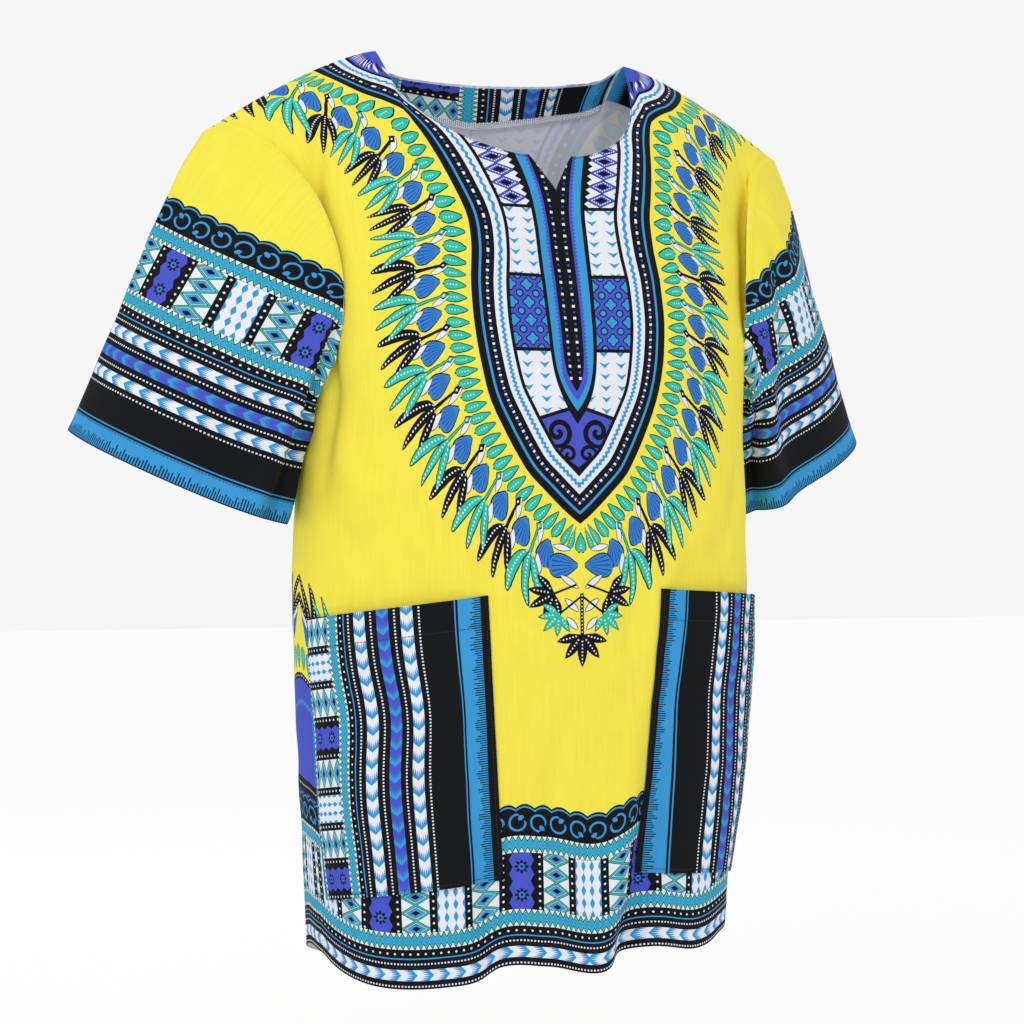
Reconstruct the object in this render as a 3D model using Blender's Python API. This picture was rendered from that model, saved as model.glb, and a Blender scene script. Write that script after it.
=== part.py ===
"""A dashiki shirt, worn and hollow: front, back, two wide sleeves, two patch pockets and a neck facing.

Metres. The shirt faces -Y, the wearer's left is +X and Z is up. The origin lies between the two neck
points, where the shoulders carry the shirt. Every piece is a thin wall of cloth laid through rows and
columns of points: a row runs round the body, a column follows the grain from the hem to the shoulder.
"""

import math
from collections import namedtuple

import bmesh
import bpy
import numpy as np

# Driving sizes
HEM_HEIGHT = -0.776
ARMPIT_HEIGHT = -0.305
NECK_HALF_WIDTH = 0.118
SHOULDER_TIP = (0.268, 0.004, -0.074)
SHOULDER_ROUNDNESS = 1.35
SIDE_SEAM_Y = -0.045
CLOTH = 0.0016
SEAM_GAP = 0.0003
WELD_DISTANCE = 0.00001
NOTCH_HALF_WIDTH = 0.019
NOTCH_DEPTH = 0.029
NECK_SHARE = 0.42
NOTCH_SHARE = 0.07
EASE_WIDTH = 0.30
EASE_STEPS = 6
CORNER_REACH = 3.5
NOTCH_LEAN = 0.35
SEAM_HOLD = 8
CURVE_STEPS = 181
SAME_SHARE = 1e-9

# Counts of columns and rows
NOTCH_COLUMNS = 2
NECK_COLUMNS = 6
SHOULDER_COLUMNS = 11
BODY_ROWS = 17
YOKE_ROWS = 12
SLEEVE_ROWS = 13

# The body below the armpits: the shirt's half width, and how far its middle front and back lie along Y
Girth = namedtuple("Girth", "height half_width front back roundness")
GIRTHS = (
    Girth(-0.790, 0.180, -0.168, 0.084, 2.25),
    Girth(-0.690, 0.189, -0.168, 0.080, 2.25),
    Girth(-0.600, 0.197, -0.167, 0.075, 2.25),
    Girth(-0.470, 0.204, -0.164, 0.070, 2.25),
    Girth(-0.400, 0.203, -0.161, 0.070, 2.30),
    Girth(-0.305, 0.200, -0.155, 0.074, 2.35),
)

# Height of the front hem over its lowest level, by share of the panel from the wearer's right to left
HemLift = namedtuple("HemLift", "share lift")
FRONT_HEM = (
    HemLift(-1.00, 0.012),
    HemLift(-0.87, 0.001),
    HemLift(-0.72, -0.007),
    HemLift(-0.48, -0.007),
    HemLift(-0.36, -0.002),
    HemLift(-0.27, 0.009),
    HemLift(-0.14, 0.009),
    HemLift(0.06, 0.002),
    HemLift(0.17, 0.013),
    HemLift(0.27, 0.018),
    HemLift(0.45, 0.014),
    HemLift(0.62, 0.024),
    HemLift(0.80, 0.028),
    HemLift(1.00, 0.018),
)
BACK_HEM = (
    HemLift(-1.00, 0.012),
    HemLift(-0.86, 0.016),
    HemLift(-0.55, -0.004),
    HemLift(-0.20, 0.004),
    HemLift(0.15, -0.003),
    HemLift(0.60, 0.004),
    HemLift(0.84, 0.016),
    HemLift(1.00, 0.018),
)

# Soft folds that hang down a panel: where each starts and ends, how far it stands out and how wide it is
Fold = namedtuple("Fold", "top_share hem_share top_height out half_width")
FRONT_FOLDS = (
    Fold(-0.78, -0.68, -0.46, 0.006, 0.13),
    Fold(-0.44, -0.31, -0.40, -0.012, 0.06),
    Fold(-0.18, -0.12, -0.42, 0.007, 0.11),
    Fold(0.36, 0.07, -0.36, 0.009, 0.07),
    Fold(0.47, 0.18, -0.31, -0.019, 0.075),
    Fold(0.72, 0.48, -0.44, 0.007, 0.12),
    Fold(0.86, 0.78, -0.50, -0.007, 0.07),
)
BACK_FOLDS = (
    Fold(-0.70, -0.74, -0.36, 0.010, 0.10),
    Fold(-0.44, -0.46, -0.30, -0.013, 0.09),
    Fold(-0.16, -0.14, -0.34, 0.012, 0.11),
    Fold(0.14, 0.18, -0.28, -0.012, 0.09),
    Fold(0.42, 0.46, -0.36, 0.011, 0.10),
    Fold(0.72, 0.76, -0.40, -0.009, 0.09),
)

# Neckline from the neck point to the middle: across, along and up, in the wearer's left half
NeckPoint = namedtuple("NeckPoint", "share x y z")
FRONT_NECK = (
    NeckPoint(1.00, 0.118, 0.000, 0.000),
    NeckPoint(0.93, 0.114, -0.019, -0.024),
    NeckPoint(0.82, 0.102, -0.046, -0.050),
    NeckPoint(0.66, 0.082, -0.072, -0.071),
    NeckPoint(0.40, 0.048, -0.094, -0.089),
    NeckPoint(0.00, 0.000, -0.104, -0.096),
)
BACK_NECK = (
    NeckPoint(1.00, 0.118, 0.000, 0.000),
    NeckPoint(0.90, 0.110, 0.021, -0.008),
    NeckPoint(0.66, 0.082, 0.044, -0.013),
    NeckPoint(0.35, 0.044, 0.057, -0.015),
    NeckPoint(0.00, 0.000, 0.061, -0.016),
)

# How each column leaves the armpit row and arrives at the neckline or shoulder, by share from the middle
Guide = namedtuple("Guide", "share leave_x leave_y leave_z arrive_x arrive_y arrive_z")
FRONT_GUIDES = (
    Guide(0.00, 0.000, 0.020, 0.190, 0.000, 0.060, 0.170),
    Guide(0.42, 0.000, 0.005, 0.270, 0.004, 0.230, 0.120),
    Guide(0.70, 0.000, -0.010, 0.250, 0.012, 0.220, 0.060),
    Guide(0.88, -0.010, -0.060, 0.230, 0.060, 0.180, 0.040),
    Guide(1.00, -0.080, -0.340, 0.150, 0.270, 0.260, 0.020),
)
BACK_GUIDES = (
    Guide(0.00, 0.000, 0.010, 0.280, 0.000, -0.070, 0.230),
    Guide(0.42, 0.000, 0.020, 0.300, 0.004, -0.200, 0.120),
    Guide(0.70, 0.000, 0.020, 0.260, 0.012, -0.200, 0.060),
    Guide(0.88, -0.010, 0.070, 0.230, 0.060, -0.180, 0.040),
    Guide(1.00, -0.060, 0.220, 0.180, 0.220, -0.200, 0.020),
)

# Sleeves: three points of each cuff's oval, with x counted outwards from the body
Cuff = namedtuple("Cuff", "name side outer inner front_reach")
CUFFS = (
    Cuff("sleeve_right", -1, (0.378, 0.040, -0.327), (0.216, -0.030, -0.401), (0.006, -0.060, -0.014)),
    Cuff("sleeve_left", 1, (0.366, 0.046, -0.317), (0.214, -0.008, -0.396), (0.004, -0.058, -0.012)),
)
SleeveGuide = namedtuple("SleeveGuide", "turn leave_x leave_y leave_z arrive_x arrive_y arrive_z")
SLEEVE_GUIDES = (
    SleeveGuide(0.00, 0.110, 0.010, -0.110, 0.100, 0.030, -0.210),
    SleeveGuide(0.25, 0.120, -0.050, -0.060, 0.070, 0.020, -0.180),
    SleeveGuide(0.50, 0.060, 0.000, -0.060, 0.030, 0.000, -0.090),
    SleeveGuide(0.75, 0.120, 0.050, -0.060, 0.070, 0.010, -0.180),
    SleeveGuide(1.00, 0.110, 0.010, -0.110, 0.100, 0.030, -0.210),
)
SleeveFold = namedtuple("SleeveFold", "turn_at_seam turn_at_cuff out half_width")
SLEEVE_FOLDS = (
    SleeveFold(0.16, 0.12, 0.005, 0.06),
    SleeveFold(0.33, 0.30, -0.008, 0.05),
    SleeveFold(0.42, 0.39, 0.009, 0.04),
    SleeveFold(0.62, 0.60, 0.007, 0.05),
    SleeveFold(0.71, 0.72, -0.007, 0.05),
)

# Pockets: shares of the edge nearest the middle and of the edge at the side, and heights at the middle edge
Pocket = namedtuple("Pocket", "name near_top near_foot far top_height foot_height drop")
POCKETS = (
    Pocket("pocket_right", -0.312, -0.275, -0.930, -0.463, -0.696, 0.021),
    Pocket("pocket_left", 0.285, 0.225, 0.930, -0.459, -0.696, 0.010),
)
POCKET_STAND_OFF = 0.0004
POCKET_PUFF = 0.009
PUFF_AT_FOOT = 0.04
PUFF_RISE = 0.60
PUFF_FULLNESS = 0.8
EDGE_CLEARANCE = 0.3

# Neck facing, inside the back of the neck: its rows, counted down from the top row of the back panel
FACING_ROWS = (0.1, 1.0, 1.9)
FACING_GAP = 0.0004

# Cloth colours and finish
YELLOW = (0.86, 0.74, 0.06, 1.0)
BLACK = (0.02, 0.02, 0.025, 1.0)
BLUE = (0.06, 0.30, 0.68, 1.0)
CLOTH_ROUGHNESS = 0.85


def column(table, name):
    """One named column of a table, as an array."""
    return np.array([getattr(row, name) for row in table], float)


def smooth_table(at, places, values):
    """Cubic interpolation through a short table, flat beyond its ends."""
    if places[0] > places[-1]:
        places, values = places[::-1], values[::-1]
    at = np.clip(np.asarray(at, float), places[0], places[-1])
    slopes = np.gradient(values, places)
    low = np.clip(np.searchsorted(places, at, side="right") - 1, 0, len(places) - 2)
    span = places[low + 1] - places[low]
    part = (at - places[low]) / span
    keep = (1 + 2 * part) * (1 - part) ** 2
    take = part**2 * (3 - 2 * part)
    leave = part * (1 - part) ** 2 * span
    arrive = part**2 * (part - 1) * span
    return keep * values[low] + take * values[low + 1] + leave * slopes[low] + arrive * slopes[low + 1]


def look_up(table, at, key, name):
    """One column of a table, read at places along another."""
    return smooth_table(at, column(table, key), column(table, name))


def hermite(start, leave, end, arrive, part):
    """A curve from start to end with those directions at its ends."""
    part = np.asarray(part)[..., None]
    return (
        (1 + 2 * part) * (1 - part) ** 2 * start
        + part * (1 - part) ** 2 * leave
        + part**2 * (3 - 2 * part) * end
        + part**2 * (part - 1) * arrive
    )


def shares_of_columns():
    """Columns from the wearer's right side seam to the left one, closer together at the notch."""
    half = np.concatenate(
        [
            np.linspace(0.0, NOTCH_SHARE, NOTCH_COLUMNS + 1),
            np.linspace(NOTCH_SHARE, NECK_SHARE, NECK_COLUMNS + 1)[1:],
            np.linspace(NECK_SHARE, 1.0, SHOULDER_COLUMNS + 1)[1:],
        ]
    )
    return np.concatenate([-half[:0:-1], half])


def girth_point(share, height, side):
    """A point of the shirt round the body at one height. side is -1 on the front and 1 on the back."""
    half_width = look_up(GIRTHS, height, "height", "half_width")
    middle = look_up(GIRTHS, height, "height", "front" if side < 0 else "back")
    roundness = look_up(GIRTHS, height, "height", "roundness")
    depth = np.abs(middle - SIDE_SEAM_Y)
    # Even steps of cloth round a quarter of the oval, found on a fine curve
    turns = np.linspace(0.0, math.pi / 2, CURVE_STEPS)
    across = half_width[..., None] * np.sin(turns) ** (2 / roundness[..., None])
    along = depth[..., None] * np.cos(turns) ** (2 / roundness[..., None])
    steps = np.hypot(np.diff(across, axis=-1), np.diff(along, axis=-1))
    length = np.concatenate([np.zeros(steps.shape[:-1] + (1,)), np.cumsum(steps, axis=-1)], axis=-1)
    wanted = np.abs(share) * length[..., -1]
    flat_length = length.reshape(-1, len(turns))
    flat_across = across.reshape(-1, len(turns))
    flat_along = along.reshape(-1, len(turns))
    flat_wanted = wanted.reshape(-1)
    x = np.array([np.interp(w, ls, xs) for w, ls, xs in zip(flat_wanted, flat_length, flat_across)])
    y = np.array([np.interp(w, ls, ys) for w, ls, ys in zip(flat_wanted, flat_length, flat_along)])
    x = x.reshape(wanted.shape) * np.sign(share)
    y = SIDE_SEAM_Y + side * y.reshape(wanted.shape)
    return np.stack([x, y, height], axis=-1)


def fold_depth(folds, share, height):
    """How far the folds of a panel stand out at a share and height: nothing above a fold's start."""
    out = np.zeros(np.broadcast(share, height).shape)
    for fold in folds:
        way = np.clip((fold.top_height - height) / (fold.top_height - HEM_HEIGHT), 0.0, 1.1)
        middle = fold.top_share + (fold.hem_share - fold.top_share) * way
        growth = way * way * (3 - 2 * np.minimum(way, 1.0)) ** 0.5
        seam_hold = 1 - np.abs(share) ** SEAM_HOLD
        out += fold.out * growth * seam_hold * np.exp(-(((share - middle) / fold.half_width) ** 2))
    return out


def outward(share, height, side):
    """Level unit vectors that point out of the shirt."""
    step = 0.004
    ahead = girth_point(np.clip(share + step, -1, 1), height, side)
    behind = girth_point(np.clip(share - step, -1, 1), height, side)
    along = ahead - behind
    normal = np.stack([along[..., 1], -along[..., 0], np.zeros(along.shape[:-1])], axis=-1) * -side
    return normal / np.linalg.norm(normal, axis=-1, keepdims=True)


def lower_point(share, height, side):
    """A point of a panel between the hem and the armpits, folds included."""
    folds = FRONT_FOLDS if side < 0 else BACK_FOLDS
    level = girth_point(share, height, side)
    out = fold_depth(folds, share, height)
    return level + outward(share, height, side) * out[..., None]


def top_point(share, side):
    """Where a column ends: on the neckline between the neck points, and on the shoulder line outside them."""
    neck = FRONT_NECK if side < 0 else BACK_NECK
    size = np.abs(share)
    along_neck = np.clip(size / NECK_SHARE, 0, 1)
    on_neck = [look_up(neck, along_neck, "share", name) for name in ("x", "y", "z")]
    past = np.clip((size - NECK_SHARE) / (1 - NECK_SHARE), 0, 1)
    tip_x, tip_y, tip_z = SHOULDER_TIP
    on_shoulder = [
        NECK_HALF_WIDTH + (tip_x - NECK_HALF_WIDTH) * past,
        tip_y * past,
        tip_z * past**SHOULDER_ROUNDNESS,
    ]
    point = [np.where(size <= NECK_SHARE, n, s) for n, s in zip(on_neck, on_shoulder)]
    if side < 0:
        into_notch = np.clip(1 - point[0] / NOTCH_HALF_WIDTH, 0, 1)
        point[1] = point[1] - NOTCH_LEAN * NOTCH_DEPTH * into_notch
        point[2] = point[2] - NOTCH_DEPTH * into_notch
    point[0] = point[0] * np.sign(share)
    return np.stack(point, axis=-1)


def eased_top(share, side):
    """The top line with its corners rounded off, which the chest and upper back follow lower down."""
    size = np.abs(share)
    total = 0
    for step in range(-EASE_STEPS, EASE_STEPS + 1):
        shift = EASE_WIDTH * step / EASE_STEPS
        moved = share + shift
        beyond = np.abs(moved) > 1
        point = top_point(np.where(beyond, np.sign(moved) * 2 - moved, moved), side)
        corner = top_point(np.sign(moved), side)
        total = total + np.where(beyond[..., None], 2 * corner - point, point)
    eased = total / (2 * EASE_STEPS + 1)
    hold = np.clip((size - (1 - EASE_WIDTH)) / EASE_WIDTH, 0, 1)[..., None]
    return eased + (top_point(share, side) - eased) * hold


def upper_point(share, part, side):
    """A point of a panel between the armpit row, part 0, and the neckline or shoulder, part 1."""
    guides = FRONT_GUIDES if side < 0 else BACK_GUIDES
    armpit = np.full(np.shape(share), ARMPIT_HEIGHT)
    start = lower_point(share, armpit, side)
    end = eased_top(share, side)
    corner = (top_point(share, side) - end) * (np.asarray(part) ** CORNER_REACH)[..., None]
    turn = np.where(share < 0, -1.0, 1.0)
    size = np.abs(share)
    leave = np.stack([look_up(guides, size, "share", "leave_" + name) for name in "xyz"], axis=-1)
    arrive = np.stack([look_up(guides, size, "share", "arrive_" + name) for name in "xyz"], axis=-1)
    leave[..., 0] *= turn
    arrive[..., 0] *= turn
    return hermite(start, leave, end, arrive, part) + corner


def panel_grid(side):
    """Rows of points of the front or back panel, from the hem to the top."""
    shares = shares_of_columns()
    hem = FRONT_HEM if side < 0 else BACK_HEM
    foot = HEM_HEIGHT + look_up(hem, shares, "share", "lift")
    rows = []
    for part in np.linspace(0, 1, BODY_ROWS + 1):
        height = foot + (ARMPIT_HEIGHT - foot) * part
        rows.append(lower_point(shares, height, side))
    for part in np.linspace(0, 1, YOKE_ROWS + 1)[1:]:
        rows.append(upper_point(shares, np.full(len(shares), part), side))
    return np.array(rows)


def panel_normals(grid, side):
    """Unit normals of a panel's grid that point to the front, side -1, or to the back, side 1."""
    normal = unit(np.cross(np.gradient(grid, axis=1), np.gradient(grid, axis=0)))
    return normal if np.sum(normal[..., 1]) * side > 0 else -normal


def unit(vectors):
    """The same vectors, one long."""
    return vectors / np.linalg.norm(vectors, axis=-1, keepdims=True)


def wall(name, outer, inner, closed_round, colour):
    """A cloth wall between an outer and an inner grid of points, as one closed solid."""
    rows, columns = outer.shape[:2]
    spans = columns if closed_round else columns - 1
    mesh = bmesh.new()
    row_of = mesh.verts.layers.int.new("row")
    column_of = mesh.verts.layers.int.new("column")
    bmesh.ops.create_grid(mesh, x_segments=spans, y_segments=rows - 1, size=1.0)
    for vert in mesh.verts:
        vert[row_of] = round((vert.co.y + 1) / 2 * (rows - 1))
        vert[column_of] = round((vert.co.x + 1) / 2 * spans) % columns
        vert.co = outer[vert[row_of], vert[column_of]]
    if closed_round:
        bmesh.ops.remove_doubles(mesh, verts=mesh.verts[:], dist=WELD_DISTANCE)
    sheet = mesh.faces[:]
    second = bmesh.ops.extrude_face_region(mesh, geom=sheet)
    for vert in second["geom"]:
        if isinstance(vert, bmesh.types.BMVert):
            vert.co = inner[vert[row_of], vert[column_of]]
    bmesh.ops.recalc_face_normals(mesh, faces=mesh.faces[:])
    data = bpy.data.meshes.new(name)
    mesh.to_mesh(data)
    mesh.free()
    data.shade_smooth()
    data.materials.append(cloth_material(name, colour))
    shirt_collection().objects.link(bpy.data.objects.new(name, data))


def shirt_collection():
    """The collection that holds every piece of the shirt."""
    found = bpy.data.collections.get("dashiki_shirt")
    if found is None:
        found = bpy.data.collections.new("dashiki_shirt")
        bpy.context.scene.collection.children.link(found)
    return found


def cloth_material(name, colour):
    """Plain matt cotton in one colour."""
    material = bpy.data.materials.new(name + "_cloth")
    material.use_nodes = True
    shader = material.node_tree.nodes["Principled BSDF"]
    shader.inputs["Base Color"].default_value = colour
    shader.inputs["Roughness"].default_value = CLOTH_ROUGHNESS
    shader.inputs["Metallic"].default_value = 0.0
    return material


def seam_normals(front, back, front_normals, back_normals):
    """Gives both panels the same wall direction along their shared seams, so that the walls meet square."""
    for edge in (0, -1):
        shared = unit(front_normals[:BODY_ROWS + 1, edge] + back_normals[:BODY_ROWS + 1, edge])
        front_normals[:BODY_ROWS + 1, edge] = shared
        back_normals[:BODY_ROWS + 1, edge] = shared
    shoulder = np.abs(shares_of_columns()) >= NECK_SHARE - SAME_SHARE
    shared = unit(front_normals[-1, shoulder] + back_normals[-1, shoulder])
    front_normals[-1, shoulder] = shared
    back_normals[-1, shoulder] = shared


def drawn_in(grid, gap):
    """Moves a panel's side seams and shoulder line back by half the seam gap, within the cloth."""
    moved = grid.copy()
    moved[:, 0] += unit(grid[:, 1] - grid[:, 0]) * gap / 2
    moved[:, -1] += unit(grid[:, -2] - grid[:, -1]) * gap / 2
    shoulder = np.abs(shares_of_columns()) >= NECK_SHARE - SAME_SHARE
    moved[-1, shoulder] += unit(grid[-2, shoulder] - grid[-1, shoulder]) * gap / 2
    return moved


def armhole_ring(front, back):
    """The armhole on the wearer's left: down the front edge from the shoulder tip, and up the back edge."""
    down = front[BODY_ROWS:, -1][::-1]
    up = back[BODY_ROWS:, -1]
    return np.concatenate([down, up[1:-1]])


def turns_of(ring):
    """How far round the ring each point lies, from 0 at the shoulder tip, 0.5 at the armpit, to 1."""
    front_half = ring[: YOKE_ROWS + 1]
    back_half = np.concatenate([ring[YOKE_ROWS:], ring[:1]])
    turns = []
    for half in (front_half, back_half):
        steps = np.linalg.norm(np.diff(half, axis=0), axis=1)
        turns.append(np.concatenate([[0], np.cumsum(steps)]) / steps.sum() / 2)
    return np.concatenate([turns[0], 0.5 + turns[1][1:-1]])


def sleeve_grid(ring, cuff):
    """Rows of points of a sleeve, from the armhole ring to the cuff, with x counted outwards."""
    turns = turns_of(ring)
    outer, inner, front_reach = np.array(cuff.outer), np.array(cuff.inner), np.array(cuff.front_reach)
    angle = 2 * math.pi * turns[:, None]
    mouth = (outer + inner) / 2 + (outer - inner) / 2 * np.cos(angle) + front_reach * np.sin(angle)
    leave = np.stack([look_up(SLEEVE_GUIDES, turns, "turn", "leave_" + name) for name in "xyz"], axis=-1)
    arrive = np.stack([look_up(SLEEVE_GUIDES, turns, "turn", "arrive_" + name) for name in "xyz"], axis=-1)
    parts = np.linspace(0, 1, SLEEVE_ROWS + 1)
    grid = np.array([hermite(ring, leave, mouth, arrive, np.full(len(ring), part)) for part in parts])
    normals = ring_normals(grid)
    for row, part in enumerate(parts):
        depth = np.zeros(len(turns))
        for fold in SLEEVE_FOLDS:
            middle = fold.turn_at_seam + (fold.turn_at_cuff - fold.turn_at_seam) * part
            depth += fold.out * np.exp(-(((turns - middle) / fold.half_width) ** 2))
        grid[row] += normals[row] * (depth * math.sin(math.pi * min(part, 0.5)) ** 2)[:, None]
    return grid


def ring_normals(grid):
    """Unit normals of a grid that closes on itself round the sleeve."""
    across = np.roll(grid, -1, axis=1) - np.roll(grid, 1, axis=1)
    along = np.gradient(grid, axis=0)
    normal = unit(np.cross(along, across))
    middle = grid.mean(axis=1, keepdims=True)
    if np.sum(normal * (grid - middle)) < 0:
        normal = -normal
    return normal


def make_body():
    """Front and back panels. Returns their grids and wall directions for the pieces sewn to them."""
    front, back = panel_grid(-1), panel_grid(1)
    front_normals, back_normals = panel_normals(front, -1), panel_normals(back, 1)
    seam_normals(front, back, front_normals, back_normals)
    for name, grid, normals in (("front", front, front_normals), ("back", back, back_normals)):
        outer = drawn_in(grid, SEAM_GAP)
        inner = drawn_in(grid - normals * CLOTH, SEAM_GAP)
        wall(name, outer, inner, False, YELLOW)
    return front, back, front_normals, back_normals


def make_sleeves(front, back, front_normals, back_normals):
    """Both sleeves, each lofted from the armhole's own points to the cuff."""
    for cuff in CUFFS:
        order = slice(None) if cuff.side > 0 else slice(None, None, -1)
        outwards = np.array([cuff.side, 1, 1])
        ring = armhole_ring(front[:, order], back[:, order]) * outwards
        grid = sleeve_grid(ring, cuff)
        normals = ring_normals(grid)
        normals[0] = armhole_ring(front_normals[:, order], back_normals[:, order]) * outwards
        grid[0] += unit(grid[1] - grid[0]) * SEAM_GAP
        wall(cuff.name, grid * outwards, (grid - normals * CLOTH) * outwards, True, BLACK)


def on_grid(grid, row, col):
    """Points of a grid at rows and columns that may lie between its own, on its own flat faces."""
    low_row = np.clip(np.floor(row).astype(int), 0, grid.shape[0] - 2)
    low_col = np.clip(np.floor(col).astype(int), 0, grid.shape[1] - 2)
    up, over = (row - low_row)[..., None], (col - low_col)[..., None]
    foot = grid[low_row, low_col] * (1 - over) + grid[low_row, low_col + 1] * over
    top = grid[low_row + 1, low_col] * (1 - over) + grid[low_row + 1, low_col + 1] * over
    return foot * (1 - up) + top * up


def row_at(share, height):
    """The row of the front panel, whole or part, that passes a share and height below the armpits."""
    foot = HEM_HEIGHT + look_up(FRONT_HEM, share, "share", "lift")
    return (height - foot) / (ARMPIT_HEIGHT - foot) * BODY_ROWS


def whole_between(low, high):
    """Whole numbers between two others that stay clear of both."""
    return np.arange(math.ceil(low + EDGE_CLEARANCE), math.floor(high - EDGE_CLEARANCE) + 1)


def make_pockets(front, front_normals):
    """Patch pockets, made from the front panel's own points moved out, with a mouth that gapes a little."""
    shares = shares_of_columns()
    columns = np.arange(len(shares))
    for pocket in POCKETS:
        near_col, far_col = np.interp([pocket.near_foot, pocket.far], shares, columns)
        top_col = np.interp(pocket.near_top, shares, columns)
        inner_edge = max(near_col, top_col) if pocket.far > 0 else min(near_col, top_col)
        between = whole_between(min(inner_edge, far_col), max(inner_edge, far_col))
        foot_row = row_at(pocket.near_foot, pocket.foot_height)
        top_row = row_at(pocket.far, pocket.top_height - pocket.drop)
        heights = [0.0]
        heights += [(row - foot_row) / (top_row - foot_row) for row in whole_between(foot_row, top_row)]
        heights += [1.0]
        places = []
        for part in heights:
            near = pocket.near_foot + (pocket.near_top - pocket.near_foot) * part
            share = np.concatenate([[near], shares[between], [pocket.far]])
            share.sort()
            across = (share - near) / (pocket.far - near)
            foot = row_at(share, pocket.foot_height - pocket.drop * across)
            top = row_at(share, pocket.top_height - pocket.drop * across)
            row = foot + (top - foot) * part
            if 0.0 < part < 1.0:
                row = np.full(len(share), foot_row + (top_row - foot_row) * part)
            bulge = math.sin(math.pi * (PUFF_AT_FOOT + PUFF_RISE * part))
            puff = POCKET_PUFF * np.sin(math.pi * across) ** PUFF_FULLNESS * bulge
            col = np.interp(share, shares, columns)
            level, normal = on_grid(front, row, col), on_grid(front_normals, row, col)
            places.append((level, normal, POCKET_STAND_OFF + puff))
        inner = np.array([level + normal * out[:, None] for level, normal, out in places])
        outer = np.array([level + normal * (out[:, None] + CLOTH) for level, normal, out in places])
        wall(pocket.name, outer, inner, False, BLUE)


def make_facing(back, back_normals):
    """The strip that finishes the inside of the back of the neck, made from the back's own points."""
    inside = np.abs(shares_of_columns()) < NECK_SHARE - SAME_SHARE
    gap = CLOTH + FACING_GAP
    rows = []
    for depth in FACING_ROWS:
        low = len(back) - 2 - int(depth)
        part = 1 - (depth - int(depth))
        point = back[low, inside] * (1 - part) + back[low + 1, inside] * part
        normal = back_normals[low, inside] * (1 - part) + back_normals[low + 1, inside] * part
        rows.append((point - normal * gap, point - normal * (gap + CLOTH)))
    rows = rows[::-1]
    wall("neck_facing", np.array([row[0] for row in rows]), np.array([row[1] for row in rows]), False, BLUE)


def main():
    for obj in list(bpy.data.objects):
        bpy.data.objects.remove(obj)
    front, back, front_normals, back_normals = make_body()
    make_sleeves(front, back, front_normals, back_normals)
    make_pockets(front, front_normals)
    make_facing(back, back_normals)


main()
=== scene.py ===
import math
from collections import namedtuple

import bmesh
import bpy
import numpy as np
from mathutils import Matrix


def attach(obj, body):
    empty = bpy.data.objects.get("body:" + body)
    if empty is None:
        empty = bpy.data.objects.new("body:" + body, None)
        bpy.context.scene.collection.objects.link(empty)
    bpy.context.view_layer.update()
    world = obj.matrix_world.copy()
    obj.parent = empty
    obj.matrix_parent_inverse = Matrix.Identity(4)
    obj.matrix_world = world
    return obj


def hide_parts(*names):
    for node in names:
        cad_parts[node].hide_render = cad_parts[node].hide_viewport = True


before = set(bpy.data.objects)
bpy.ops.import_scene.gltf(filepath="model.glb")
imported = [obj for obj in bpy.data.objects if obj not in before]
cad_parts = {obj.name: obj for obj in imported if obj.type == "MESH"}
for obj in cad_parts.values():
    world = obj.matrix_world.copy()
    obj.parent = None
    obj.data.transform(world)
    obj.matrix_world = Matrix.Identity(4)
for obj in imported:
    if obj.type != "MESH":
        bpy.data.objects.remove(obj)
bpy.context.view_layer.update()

# Front panel. One width of yellow plain-weave cotton, screen printed, cut in one with the front of the
# dropped shoulders. The print puts a pointed yoke with its notch at the neck, a ring of sprigs round the
# yoke, and a border band along the hem, which is turned up and stitched.
HEM_HEIGHT = -0.776
ARMPIT_HEIGHT = -0.305
NECK_HALF_WIDTH = 0.118
SHOULDER_TIP = (0.268, 0.004, -0.074)
SHOULDER_ROUNDNESS = 1.35
SIDE_SEAM_Y = -0.045
NOTCH_HALF_WIDTH = 0.019
NOTCH_DEPTH = 0.029
NOTCH_LEAN = 0.35
NECK_SHARE = 0.42
NOTCH_SHARE = 0.07
EASE_WIDTH = 0.30
EASE_STEPS = 6
CORNER_REACH = 3.5
CLOTH = 0.0009
HALF_GIRTH = 0.2553
SEAM_ROLL = 0.0014
STITCHED_ABOVE_EDGE = 0.018
BODY_ROWS = 144
YOKE_ROWS = 96
WELD_DISTANCE = 0.00001

Girth = namedtuple("Girth", "height half_width front back roundness")
GIRTHS = (
    Girth(-0.790, 0.180, -0.168, 0.084, 2.25),
    Girth(-0.690, 0.189, -0.168, 0.080, 2.25),
    Girth(-0.600, 0.197, -0.167, 0.075, 2.25),
    Girth(-0.470, 0.204, -0.164, 0.070, 2.25),
    Girth(-0.400, 0.203, -0.161, 0.070, 2.30),
    Girth(-0.305, 0.200, -0.155, 0.074, 2.35),
)
HemLift = namedtuple("HemLift", "share lift")
Fold = namedtuple("Fold", "top_share hem_share top_height out half_width")
NeckPoint = namedtuple("NeckPoint", "share x y z")
Guide = namedtuple("Guide", "share leave_x leave_y leave_z arrive_x arrive_y arrive_z")
# A crease in the cloth's own measures, metres from the middle line and above the armpits
Crease = namedtuple("Crease", "from_across from_up to_across to_up out half_width")
Panel = namedtuple("Panel", "side hem folds neck guides creases")

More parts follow.
